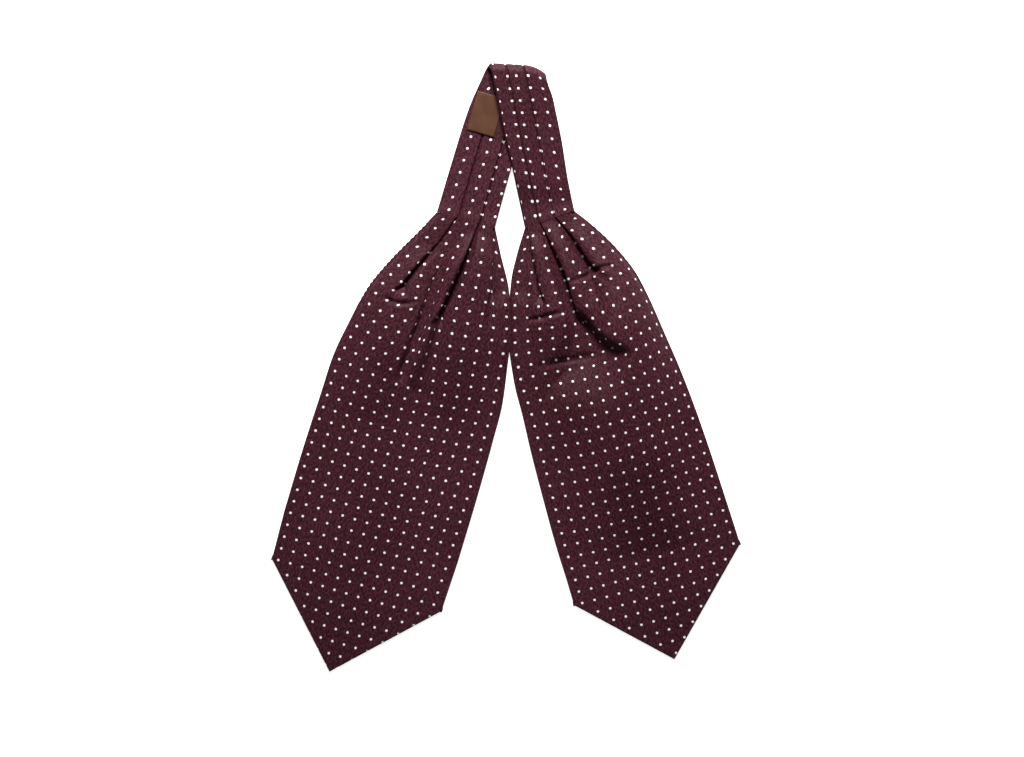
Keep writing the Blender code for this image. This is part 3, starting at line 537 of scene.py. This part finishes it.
def offsetLine(line, distance):
    step = np.diff(line, axis=0)
    step = step / np.maximum(np.linalg.norm(step, axis=1), 1e-6)[:, None]
    before = np.vstack([step[:1], step])
    after = np.vstack([step, step[-1:]])
    tangent = before + after
    tangent = tangent / np.maximum(np.linalg.norm(tangent, axis=1), 1e-6)[:, None]
    normal = np.column_stack([-tangent[:, 1], tangent[:, 0]])
    spread = np.clip((before * tangent).sum(axis=1), 0.8, 1.0)
    return line + normal * (distance / spread)[:, None]


def bladeSurface(blade):
    # rows of the face's upper surface and of its cloth coordinates, seam to point
    lengths = np.concatenate([density["first"], np.linspace(*density["pleated"]),
                              np.linspace(density["lowerStart"], blade["sections"][-1][0], density["lower"])])
    rows = []
    weave = []
    for length in lengths:
        points, marks, line, hidden, ends, press = sectionPath(blade, length)
        places = placeAcross(points, marks, line[:, 0], length)
        plain = line.copy()
        plain[:, 1] += faceBase + liftOf(blade, places, line, marks, np.ones(len(line)))
        raised = line.copy()
        raised[:, 1] += faceBase + liftOf(blade, places, line, marks, press)
        outer = offsetLine(raised, cloth["wall"] / 2)
        plan = placeAcross(points, marks, outer[:, 0], length)
        rows.append(np.column_stack([plan, outer[:, 1]]))
        across = clothAcross(blade, plain, hidden, ends, length)
        weave.append(np.column_stack([across, clothAlong(blade["slant"], line[:, 0] / marks[4], length)]))
    rows, weave = pointedEnd(blade, np.array(rows), np.array(weave), lengths[-1], ends)
    return rows, weave


def towardsPoint(corners, outerRim, innerRim, share):
    # directions down a blade's end, turning evenly from the outer rim's to the inner rim's
    outer = corners["outer"] - outerRim
    inner = corners["inner"] - innerRim
    outer = outer / np.linalg.norm(outer)
    inner = inner / np.linalg.norm(inner)
    return (1 - share)[:, None] * outer + share[:, None] * inner


def reachTo(start, heading, first, second):
    # how far a straight edge is from each place along its heading, and how squarely it is met
    along = second - first
    away = first - start[:, :2]
    cross = heading[:, 0] * along[1] - heading[:, 1] * along[0]
    return (away[:, 0] * along[1] - away[:, 1] * along[0]) / cross, np.abs(cross) / np.linalg.norm(along)


def pointedEnd(blade, rows, weave, length, ends):
    # the flat pointed end: each column runs on to the edge, and the last rows roll under it
    corners = {name: np.array(place) for name, place in blade["corners"].items()}
    start = rows[-1]
    height = start[:, 2]
    share = np.clip(weave[-1][:, 0] / cloth["width"], 0.0, 1.0)
    heading = towardsPoint(corners, start[ends[0], :2], start[ends[1], :2], share)
    heading = heading / np.linalg.norm(heading, axis=1)[:, None]
    toOuter, squareOuter = reachTo(start, heading, corners["outer"], corners["tip"])
    toInner, squareInner = reachTo(start, heading, corners["tip"], corners["inner"])
    reach = np.minimum(toOuter, toInner)
    square = np.where(toOuter < toInner, squareOuter, squareInner)
    tip = np.argmin(np.abs(toOuter - toInner))
    reach[tip] = np.linalg.norm(corners["tip"] - start[tip, :2])
    heading[tip] = (corners["tip"] - start[tip, :2]) / reach[tip]
    form = pleatShape
    roll = form["rimRoll"] + cloth["wall"] / 2
    count = density["point"]
    newRows = []
    newWeave = []
    body = np.maximum(reach - (roll + form["pointMargin"]) / square, form["pointLeast"] * reach)
    for k in range(1, count + 1):
        travel = body * k / count
        newRows.append(np.column_stack([start[:, :2] + travel[:, None] * heading, height]))
        down = clothAlong(blade["slant"], share, length + travel)
        newWeave.append(np.column_stack([weave[-1][:, 0], down]))
    seated = np.minimum(height, faceBase + cloth["wall"] / 2)
    lowest = form["lowest"]
    for turn in form["pointTurns"]:
        angle = math.radians(turn)
        travel = body + (reach - body) * math.sin(angle)
        middle = 0.5 * (seated + lowest)
        z = middle + (seated - middle) * math.cos(angle)
        newRows.append(np.column_stack([start[:, :2] + travel[:, None] * heading, z]))
        down = length + body + (reach - body) * angle
        newWeave.append(np.column_stack([weave[-1][:, 0], clothAlong(blade["slant"], share, down)]))
    travel = body * form["hemStart"] - np.minimum(form["hem"] / square, 0.5 * body)
    newRows.append(np.column_stack([start[:, :2] + travel[:, None] * heading, np.full(len(height), lowest)]))
    newWeave.append(np.column_stack([weave[-1][:, 0], newWeave[-1][:, 1] + form["hem"]]))
    return np.concatenate([rows, np.array(newRows)]), np.concatenate([weave, np.array(newWeave)])


def gridPiece(name, rows, weave, wall, material, flip):
    # a grid laid through the rows, given the cloth's coordinates, then its thickness
    if flip:
        rows = rows[:, ::-1]
        weave = weave[:, ::-1]
    count, width = rows.shape[:2]
    bpy.ops.object.select_all(action="DESELECT")
    bpy.ops.mesh.primitive_grid_add(x_subdivisions=width - 1, y_subdivisions=count - 1, size=1)
    piece = bpy.context.object
    piece.name = name
    mesh = piece.data
    mesh.name = name
    assert len(mesh.vertices) == count * width, (len(mesh.vertices), count, width)
    mesh.vertices.foreach_set("co", (rows.reshape(-1, 3) * mm).ravel())
    corner = np.zeros(len(mesh.loops), dtype=np.int32)
    mesh.loops.foreach_get("vertex_index", corner)
    layer = mesh.uv_layers.active or mesh.uv_layers.new(name="cloth")
    layer.name = "cloth"
    layer.data.foreach_set("uv", (weave.reshape(-1, 2)[corner] * mm).ravel())
    mesh.materials.append(material)
    mesh.update()
    bpy.ops.object.shade_smooth()
    thick = piece.modifiers.new("thickness", "SOLIDIFY")
    thick.thickness = wall * mm
    thick.offset = -1
    bpy.ops.object.modifier_apply(modifier="thickness")
    return piece


def addNode(tree, kind, values=None, links=None, **settings):
    node = tree.nodes.new(kind)
    for key, value in settings.items():
        setattr(node, key, value)
    for key, value in (values or {}).items():
        node.inputs[key].default_value = value
    for key, source in (links or {}).items():
        tree.links.new(source, node.inputs[key])
    return node


def mathNode(tree, operation, values, links):
    return addNode(tree, "ShaderNodeMath", operation=operation, values=values, links=links).outputs[0]


def clothMaterial(name, look):
    # a material with its shader and the cloth's coordinates
    material = bpy.data.materials.new(name)
    material.use_nodes = True
    tree = material.node_tree
    shader = tree.nodes["Principled BSDF"]
    shader.inputs["Roughness"].default_value = look["roughness"]
    shader.inputs["Specular IOR Level"].default_value = look["specular"]
    return material, tree, shader, addNode(tree, "ShaderNodeUVMap", uv_map="cloth")


def colourOf(hexValue):
    # sRGB hex to linear
    parts = [int(hexValue[k:k + 2], 16) / 255 for k in (0, 2, 4)]
    return [c / 12.92 if c <= 0.04045 else ((c + 0.055) / 1.055) ** 2.4 for c in parts] + [1.0]


def waveScale(pitch):
    # scale of a wave texture whose lines are a pitch apart, in millimetres
    return 2 * math.pi / (pitch * mm) / 20


silkLook = {
    "ground": "3c1822",
    "groundLight": "542936",
    "groundDark": "24090f",
    "dot": "f6f0ef",
    "dotRound": 0.2,        # half of a dot's soft edge
    "dotRagged": 0.3,       # how far a dot's edge wanders
    "wholePitches": 40,
    "threadScale": 900.0,
    "rampStops": (0.40, 0.575, 0.75),
    "roughness": 0.58,
    "specular": 0.1,
    "sheen": 0.06,
    "sheenRoughness": 0.45,
    "sheenTint": "c9a0ad",
    "slant": math.radians(55),
    "twillPitch": 0.9,      # the real twill lines are about 0.3 mm apart; drawn coarser so that they show
    "twill": {"Distortion": 1.2, "Detail": 1.0, "Detail Scale": 2.0},
    "patch": {"Scale": 9.0, "Detail": 3.0, "Roughness": 0.5},
    "grain": {"Scale": 620.0, "Detail": 1.0, "Roughness": 0.5},
    "grainStretch": (1, 0.5, 1),
    "share": {"patch": 0.2, "grain": 0.8, "twill": 0.15},       # of the tone
    "relief": {"grain": 0.25, "twill": 0.12},                   # against a dot's
    "bump": {"Strength": 0.5, "Distance": 0.00012},
}


def silkTwill(name, firstRow):
    # silk twill: a dry soft shine, fine diagonal lines, and small woven dots that stand out a little
    look = silkLook
    material, tree, shader, place = clothMaterial(name, look)
    pitch = cloth["dotPitch"] * mm
    parts = addNode(tree, "ShaderNodeSeparateXYZ", links={"Vector": place.outputs["UV"]})
    cell = []
    for axis, first in (("X", cloth["firstDot"]), ("Y", firstRow)):
        # some whole pitches more keep the remainder above 0
        forward = pitch / 2 - first * mm + look["wholePitches"] * pitch
        moved = mathNode(tree, "ADD", {1: forward}, {0: parts.outputs[axis]})
        wrapped = mathNode(tree, "MODULO", {1: pitch}, {0: moved})
        cell.append(mathNode(tree, "SUBTRACT", {1: pitch / 2}, {0: wrapped}))
    spot = addNode(tree, "ShaderNodeCombineXYZ", links={"X": cell[0], "Y": cell[1]})
    away = addNode(tree, "ShaderNodeVectorMath", operation="LENGTH", links={0: spot.outputs[0]})
    thread = addNode(tree, "ShaderNodeTexNoise", values={"Scale": look["threadScale"], "Detail": 2.0},
                     links={"Vector": place.outputs["UV"]})
    wander = look["dotRagged"] * mm
    ragged = mathNode(tree, "MULTIPLY_ADD", {1: 2 * wander, 2: -wander}, {0: thread.outputs["Fac"]})
    edge = mathNode(tree, "ADD", {}, {0: away.outputs["Value"], 1: ragged})
    radius = cloth["dotSize"] / 2 * mm
    soft = look["dotRound"] * mm
    dot = addNode(tree, "ShaderNodeMapRange", interpolation_type="SMOOTHSTEP",
                  values={"From Min": radius - soft, "From Max": radius + soft, "To Min": 1.0, "To Max": 0.0},
                  links={"Value": edge})
    turned = addNode(tree, "ShaderNodeMapping", values={"Rotation": (0, 0, look["slant"])},
                     links={"Vector": place.outputs["UV"]})
    twill = addNode(tree, "ShaderNodeTexWave", wave_type="BANDS", bands_direction="X",
                    values={"Scale": waveScale(look["twillPitch"]), **look["twill"]},
                    links={"Vector": turned.outputs[0]})
    patch = addNode(tree, "ShaderNodeTexNoise", values=look["patch"], links={"Vector": place.outputs["UV"]})
    slanted = addNode(tree, "ShaderNodeMapping",
                      values={"Rotation": (0, 0, look["slant"]), "Scale": look["grainStretch"]},
                      links={"Vector": place.outputs["UV"]})
    grain = addNode(tree, "ShaderNodeTexNoise", values=look["grain"], links={"Vector": slanted.outputs[0]})
    tone = mathNode(tree, "MULTIPLY", {1: look["share"]["patch"]}, {0: patch.outputs["Fac"]})
    tone = mathNode(tree, "MULTIPLY_ADD", {1: look["share"]["grain"]}, {0: grain.outputs["Fac"], 2: tone})
    tone = mathNode(tree, "MULTIPLY_ADD", {1: look["share"]["twill"]}, {0: twill.outputs["Fac"], 2: tone})
    ramp = addNode(tree, "ShaderNodeValToRGB", links={"Fac": tone})
    dark, between, light = look["rampStops"]
    ramp.color_ramp.elements[0].position = dark
    ramp.color_ramp.elements[0].color = colourOf(look["groundDark"])
    ramp.color_ramp.elements[1].position = light
    ramp.color_ramp.elements[1].color = colourOf(look["groundLight"])
    middle = ramp.color_ramp.elements.new(between)
    middle.color = colourOf(look["ground"])
    colour = addNode(tree, "ShaderNodeMix", data_type="RGBA",
                     links={"Factor": dot.outputs[0], "A": ramp.outputs["Color"]})
    colour.inputs["B"].default_value = colourOf(look["dot"])
    rise = {0: twill.outputs["Fac"], 2: dot.outputs[0]}
    rise = mathNode(tree, "MULTIPLY_ADD", {1: look["relief"]["twill"]}, rise)
    rise = mathNode(tree, "MULTIPLY_ADD", {1: look["relief"]["grain"]}, {0: grain.outputs["Fac"], 2: rise})
    bump = addNode(tree, "ShaderNodeBump", values=look["bump"], links={"Height": rise})
    tree.links.new(colour.outputs["Result"], shader.inputs["Base Color"])
    tree.links.new(bump.outputs[0], shader.inputs["Normal"])
    shader.inputs["Sheen Weight"].default_value = look["sheen"]
    shader.inputs["Sheen Roughness"].default_value = look["sheenRoughness"]
    shader.inputs["Sheen Tint"].default_value = colourOf(look["sheenTint"])
    return material


leftSilk = silkTwill("silk twill, left blade", leftBlade["firstRow"])
rightSilk = silkTwill("silk twill, right blade", rightBlade["firstRow"])
print("silk ready")


def bladeFace(name, blade, material):
    rows, weave = bladeSurface(blade)
    return gridPiece(name, rows, weave, cloth["wall"], material, flip=blade["side"] < 0)


leftFace = bladeFace("leftFace", leftBlade, leftSilk)
print("left face", len(leftFace.data.polygons))
rightFace = bladeFace("rightFace", rightBlade, rightSilk)
print("right face", len(rightFace.data.polygons))


backShape = {"inset": 2.9, "wall": 1.0, "columns": 40, "rows": 90, "pointRows": 30}


def bladeBack(name, blade, material):
    # the flat under cloth, set in from the rolled rims
    length = blade["sections"][-1][0]
    form = backShape
    rows = []
    weave = []
    for at in np.linspace(1.2, length, form["rows"]):
        points, marks = sectionMarks(blade, at)
        inset = min(form["inset"], 0.3 * marks[4])
        across = np.linspace(inset, marks[4] - inset, form["columns"])
        plan = placeAcross(points, marks, across, at)
        rows.append(np.column_stack([plan, np.full(len(across), form["wall"])]))
        share = (across - inset) / (marks[4] - 2 * inset)
        threads = inset + share * (cloth["width"] - 2 * inset)
        weave.append(np.column_stack([threads, np.full(len(across), at)]))
    corners = {key: np.array(place) for key, place in blade["corners"].items()}
    start = rows[-1]
    share = np.linspace(0.0, 1.0, form["columns"])
    heading = towardsPoint(corners, points[0], points[4], share)
    toOuter, squareOuter = reachTo(start, heading, corners["outer"], corners["tip"])
    toInner, squareInner = reachTo(start, heading, corners["tip"], corners["inner"])
    reach = np.minimum(toOuter - form["inset"] / squareOuter, toInner - form["inset"] / squareInner)
    for k in range(1, form["pointRows"] + 1):
        travel = reach * k / form["pointRows"]
        rows.append(np.column_stack([start[:, :2] + travel[:, None] * heading, start[:, 2]]))
        weave.append(np.column_stack([weave[-1][:, 0], length + travel]))
    return gridPiece(name, np.array(rows), np.array(weave), form["wall"], material, flip=blade["side"] < 0)


leftBack = bladeBack("leftBack", leftBlade, leftSilk)
rightBack = bladeBack("rightBack", rightBlade, rightSilk)
print("backs made")

band = {
    "outline": (
        # 0 on the lower run, 0.5 at the fold, 1 on the upper run; left edge; right edge
        (0.0, (-65.5, 148.0), (-10.5, 133.0)),
        (0.0, (-51.3, 195.7), (2.5, 180.0)),
        (0.0, (-35.5, 245.5), (20.0, 238.0)),
        (0.5, (-16.5, 287.0), (38.0, 283.0)),
        (1.0, (-8.6, 254.5), (45.0, 253.0)),
        (1.0, (-2.0, 222.0), (53.0, 214.5)),
        (1.0, (5.7, 190.0), (58.5, 180.0)),
        (1.0, (18.0, 133.0), (65.0, 149.0)),
    ),
    "edges": ((0.338, 0.262), (0.712, 0.567), (1.0, 1.0)),
    "roots": ((0.10, 0.02), (0.43, 0.315), (0.80, 0.620)),
    "blendStart": 0.38,
    "blendRun": 0.11,
    "rise": 2.4,
    "stripPoints": 12,
    "foldPoints": 8,
    "foldStep": 0.25,       # cloth from one point of a fold to the next, and of the rise between two strips
    "riseStep": 0.6,
    "foot": (1.6, -0.6),    # from a folded edge to where the next strip comes out, lower and upper run
    "foldNear": 0.045,      # share of the band on each side of the fold that has closer rows
    "endSlip": 0.02,        # keeps the last rows clear of each other
    "loop": 6.5,
    "tilt": math.radians(3.0),
    "top": 287.5,
    "half": cloth["layer"] + cloth["wall"] / 2,
    "descent": ((0.0, 13.0), (30.0, 10.5), (62.0, 7.0), (94.0, 4.4), (100.0, 4.1), (122.0, 0.9),
                (142.0, 0.0)),
    # first dot column from the left edge of each strip, lower run then upper run
    "lowerDots": (10.4, 10.4, 13.8),
    "upperDots": (0.5, 6.5, 1.7),
    "upperDrift": (-2.9, -5.9, -3.7),   # from the fold down to the right seam
    "seamRise": {"height": 1.3, "run": 14.0},     # the band climbs on to the blades' pleats
    # the right end of the fold is rounded off
    "corner": {"from": 13.0, "run": 25.0, "drop": 7.0, "dropBelow": 252.0, "dropFade": 34.0,
               "dropPower": 2.6, "draw": 1.4, "drawFrom": 12.0, "drawRun": 28.0, "drawBelow": 250.0,
               "drawFade": 32.0, "drawPower": 1.5},
    # how far the weft is ahead at the left and right edge, by the share of the way from the left seam
    "slant": ((0, -4.7, 2.7), (0.2, -4.1, -0.8), (0.4, -4.1, -0.8), (0.53, 4.3, -1.0), (0.75, 0.5, -2.9),
              (1, -3.3, -1.0)),
}


# directions along the fold and up to it, and the height at which the band starts to turn over
foldAlong = np.array([math.cos(band["tilt"]), -math.sin(band["tilt"])])
foldUp = np.array([math.sin(band["tilt"]), math.cos(band["tilt"])])
turnStart = band["top"] - band["loop"] - band["half"]


def bandEdge(side):
    # an edge of the band laid out straight: across the fold, and how far along the band
    found = []
    for row in band["outline"]:
        place = np.array(row[side])
        if row[0] == 0.5:
            travel = turnStart + 0.5 * math.pi * band["loop"]
        elif row[0] == 0.0:
            travel = place @ foldUp
        else:
            travel = 2 * turnStart + math.pi * band["loop"] - place @ foldUp
        found.append((place @ foldAlong, travel))
    return np.array(found)


def turnOver(across, travel, offset):
    # places of the straight band after it is folded over at the top
    loop = band["loop"]
    angle = np.clip((travel - turnStart) / loop, 0.0, math.pi)
    past = np.maximum(travel - turnStart - math.pi * loop, 0.0)
    descent = np.array(band["descent"])
    fall = through(descent[:, 0], descent[:, 1], past)
    rise = np.where(past > 0, fall, loop * (1 - np.cos(angle)))
    reach = np.minimum(travel, turnStart) + loop * np.sin(angle) - past - offset * np.sin(angle)
    height = band["half"] + rise + offset * np.cos(angle)
    plan = across[:, None] * foldAlong + reach[:, None] * foldUp
    corner = band["corner"]
    right = np.maximum(plan[:, 0] - corner["from"], 0.0) / corner["run"]
    drop = corner["drop"] * right ** corner["dropPower"]
    drop = drop * smooth((plan[:, 1] - corner["dropBelow"]) / corner["dropFade"])
    draw = corner["draw"] * smooth((plan[:, 0] - corner["drawFrom"]) / corner["drawRun"])
    near = np.clip((plan[:, 1] - corner["drawBelow"]) / corner["drawFade"], 0.0, 1.0)
    draw = draw * near ** corner["drawPower"]
    return np.column_stack([plan - np.column_stack([draw, drop]), height])


def bandPath(share, width):
    # middle line of the tucked band, and how far across the cloth each point is
    layer = cloth["layer"]
    turn = cloth["foldRound"]
    blend = float(smooth((share - band["blendStart"]) / band["blendRun"]))
    edges = [low + (high - low) * blend for low, high in band["edges"]]
    roots = [low + (high - low) * blend for low, high in band["roots"]]
    stripShares = np.linspace(0.0, 1.0, band["stripPoints"] + 1)[1:]
    line = [(0.0, layer)]
    weave = [0.0]
    start = 0.0
    pitch = cloth["dotPitch"]
    for index in range(3):
        mark = edges[index] * width - (turn + cloth["wall"] / 2 if index == 2 else 0.0)
        base = roots[index] * width + (turn + cloth["wall"] / 2 if index == 0 else 0.0)
        # the upper side of each strip follows the lower run's dots, its under side the upper run's
        topFirst = cloth["firstDot"] - band["lowerDots"][index] + index * 4 * pitch
        firstHere = band["upperDots"][index] + band["upperDrift"][index] * float(np.clip(2 * share - 1, 0, 1))
        lowFirst = cloth["firstDot"] - firstHere + (index * 4 + 2) * pitch
        leftEdge = 0.0 if index == 0 else edges[index - 1] * width
        for k in stripShares:
            x = start + (mark - start) * k
            line.append((x, layer))
            weave.append(topFirst + x - leftEdge)
        for place in halfTurn(mark, layer / 2, turn, layer / 2, -90, band["foldPoints"])[1:]:
            line.append(place)
            weave.append(weave[-1] + band["foldStep"])
        for k in (1, 2, 3, 4):
            line.append((mark + (base - mark) * k / 5, 0.0))
            weave.append(None)
        for place in halfTurn(base, -layer / 2, turn, layer / 2, 270, band["foldPoints"]):
            line.append(place)
            weave.append(None)
        beside = band["foot"][0] + (band["foot"][1] - band["foot"][0]) * blend
        foot = mark + (beside if index < 2 else turn)
        for k in stripShares:
            x = base + (foot - base) * k
            line.append((x, -layer))
            weave.append(lowFirst + x - base)
        if index < 2:
            for k in (0.2, 0.4, 0.6, 0.8, 1.0):
                line.append((foot + band["rise"] * k, -layer + 2 * layer * k))
                weave.append(weave[-1] + band["riseStep"] if k < 0.7 else None)
            start = foot + band["rise"]
    known = [k for k, value in enumerate(weave) if value is not None]
    across = np.interp(np.arange(len(weave)), known, [weave[k] for k in known])
    return np.array(line), across


def neckbandPiece():
    left = bandEdge(1)
    right = bandEdge(2)
    knots = 0.5 * (left[:, 1] + right[:, 1])
    knots = (knots - knots[0]) / (knots[-1] - knots[0])
    length = 0.5 * (left[-1, 1] + right[-1, 1] - left[0, 1] - right[0, 1])
    pitch = cloth["dotPitch"]
    # whole rows of dots between the two blades' first rows
    wholeRows = round((length + leftBlade["firstRow"] + rightBlade["firstRow"]) / pitch)
    clothLength = wholeRows * pitch - leftBlade["firstRow"] - rightBlade["firstRow"]
    fold = knots[3]
    fine = density["band"]
    near = band["foldNear"]
    shares = np.concatenate([[0.0, 0.0003, 0.003, 0.006],
                             np.linspace(0.012, fold - near, 30 * fine, endpoint=False),
                             np.linspace(fold - near, fold + near, 20 * fine, endpoint=False),
                             np.linspace(fold + near, 0.988, 30 * fine), [0.994, 0.997, 0.9997, 1.0]])
    rows = []
    weave = []
    for share in shares:
        low = np.array([through(knots, left[:, k], share) for k in (0, 1)])
        high = np.array([through(knots, right[:, k], share) for k in (0, 1)])
        width = np.linalg.norm(high - low)
        across = (high - low) / width
        if share in (0.0, 1.0):
            low = low + np.array([0.0, band["endSlip"] * (1 - 2 * share)])
        line, threads = bandPath(share, width)
        seam = min(share, 1 - share) * length
        line = offsetLine(line, cloth["wall"] / 2)
        flat = low + line[:, :1] * across
        place = turnOver(flat[:, 0], flat[:, 1], line[:, 1])
        place[:, 2] += band["seamRise"]["height"] * float(smooth(1 - seam / band["seamRise"]["run"]))
        rows.append(place)
        leftHere, rightHere = column(band["slant"], share)
        ahead = leftHere + (rightHere - leftHere) * np.clip(line[:, 0] / width, 0.0, 1.0)
        weave.append(np.column_stack([threads, ahead - share * clothLength]))
    return gridPiece("neckband", np.array(rows), np.array(weave), cloth["wall"], leftSilk, flip=False)


neckband = neckbandPiece()
print("neckband", len(neckband.data.polygons))

labelShape = {
    "width": 26.8,
    "height": 38.5,
    "thick": 0.7,
    "place": (-19.0, 240.8),
    "lean": math.radians(16.2),
    "base": 2 * band["half"] + cloth["seamGap"],
    "columns": 33,
    "rows": 45,
    "edgeDrop": 0.3,        # the edges are sewn down
    "edgeRun": 0.8,
    "wave": 0.1,            # height and pace of its faint unevenness
    "wavePace": (0.5, 0.21),
    "above": 0.2,
    "wall": 0.6,
}

labelLook = {
    "colour": "482b1c",
    "colourLight": "593827",
    "rampStops": (0.4, 0.9),
    "linePitch": 0.8,
    "lines": {"Distortion": 0.6, "Detail": 1.0},
    "lineShare": 0.3,
    "patch": {"Scale": 60.0, "Detail": 3.0},
    "bump": {"Strength": 0.3, "Distance": 0.0001},
    "roughness": 0.45,
    "specular": 0.15,
}


def labelSatin():
    # polyester satin woven label: smooth, with fine weft lines along its length
    look = labelLook
    material, tree, shader, place = clothMaterial("brown satin", look)
    lines = addNode(tree, "ShaderNodeTexWave", wave_type="BANDS", bands_direction="Y",
                    values={"Scale": waveScale(look["linePitch"]), **look["lines"]},
                    links={"Vector": place.outputs["UV"]})
    patch = addNode(tree, "ShaderNodeTexNoise", values=look["patch"], links={"Vector": place.outputs["UV"]})
    tone = {0: lines.outputs["Fac"], 2: patch.outputs["Fac"]}
    tone = mathNode(tree, "MULTIPLY_ADD", {1: look["lineShare"]}, tone)
    ramp = addNode(tree, "ShaderNodeValToRGB", links={"Fac": tone})
    for stop, position, colour in zip(ramp.color_ramp.elements, look["rampStops"], ("colour", "colourLight")):
        stop.position = position
        stop.color = colourOf(look[colour])
    bump = addNode(tree, "ShaderNodeBump", values=look["bump"], links={"Height": lines.outputs["Fac"]})
    tree.links.new(ramp.outputs["Color"], shader.inputs["Base Color"])
    tree.links.new(bump.outputs[0], shader.inputs["Normal"])
    return material


def labelPiece():
    shape = labelShape
    wide = np.linspace(-0.5, 0.5, shape["columns"]) * shape["width"]
    tall = np.linspace(0.5, -0.5, shape["rows"]) * shape["height"]
    cosine = math.cos(shape["lean"])
    sine = math.sin(shape["lean"])
    rows = []
    weave = []
    for y in tall:
        edge = np.minimum(shape["width"] / 2 - np.abs(wide), shape["height"] / 2 - abs(y))
        uneven = shape["wave"] * np.sin(wide * shape["wavePace"][0] + y * shape["wavePace"][1])
        lift = shape["thick"] - shape["edgeDrop"] * np.exp(-edge / shape["edgeRun"]) + uneven
        x = shape["place"][0] + wide * cosine + y * sine
        z = shape["base"] + lift + shape["above"]
        rows.append(np.column_stack([x, shape["place"][1] - wide * sine + y * cosine, z]))
        weave.append(np.column_stack([wide, np.full(len(wide), y)]))
    rows = np.array(rows)[::-1]
    weave = np.array(weave)[::-1]
    return gridPiece("label", rows, weave, shape["wall"], labelSatin(), flip=False)


label = labelPiece()
print("label made")

for piece, nodes in ((leftFace, ["left_blade_face"]), (leftBack, ["left_blade_back"]),
                     (rightFace, ["right_blade_face"]), (rightBack, ["right_blade_back"]),
                     (neckband, ["neckband"]), (label, ["label"])):
    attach(piece, "root")
    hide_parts(*nodes)

studio = {
    "photoScale": 0.95,     # millimetres for each pixel of the photograph
    "centre": (5.7, -9.97),
    "height": 2200.0,
    "sensor": 36.0,
    "frameWidth": 1024,
    "floorSize": 12.0,
    "floorDrop": 0.0002,
    "paper": {"Base Color": (0.9, 0.9, 0.9, 1), "Roughness": 0.9, "Emission Color": (1, 1, 1, 1),
              "Emission Strength": 0.8},
    "surroundings": {"Color": (1, 1, 1, 1), "Strength": 0.13},
}

bpy.ops.object.select_all(action="DESELECT")
bpy.ops.mesh.primitive_plane_add(size=studio["floorSize"], location=(0, 0, -studio["floorDrop"]))
floor = bpy.context.object
floor.name = "floor"
paper = bpy.data.materials.new("white paper")
paper.use_nodes = True
for socket, value in studio["paper"].items():
    paper.node_tree.nodes["Principled BSDF"].inputs[socket].default_value = value
floor.data.materials.append(paper)

world = bpy.data.worlds.new("studio") if not bpy.context.scene.world else bpy.context.scene.world
bpy.context.scene.world = world
world.use_nodes = True
for socket, value in studio["surroundings"].items():
    world.node_tree.nodes["Background"].inputs[socket].default_value = value

lampShape = {"away": 1.32, "height": 0.92, "turn": math.radians(0), "size": 0.45, "energy": 48}
lampPlace = (lampShape["away"] * math.sin(lampShape["turn"]), lampShape["away"] * math.cos(lampShape["turn"]))
bpy.ops.object.light_add(type="AREA", location=(*lampPlace, lampShape["height"]))
lamp = bpy.context.object
lamp.data.size = lampShape["size"]
lamp.data.energy = lampShape["energy"]
lamp.rotation_euler = (-math.atan2(lampShape["away"], lampShape["height"]), 0, -lampShape["turn"])

view = studio["centre"]
bpy.ops.object.camera_add(location=(view[0] * mm, view[1] * mm, studio["height"] * mm), rotation=(0, 0, 0))
camera = bpy.context.object
camera.data.sensor_width = studio["sensor"]
camera.data.lens = studio["sensor"] * studio["height"] / (studio["frameWidth"] * studio["photoScale"])
bpy.context.scene.camera = camera
bpy.context.scene.view_settings.view_transform = "Standard"
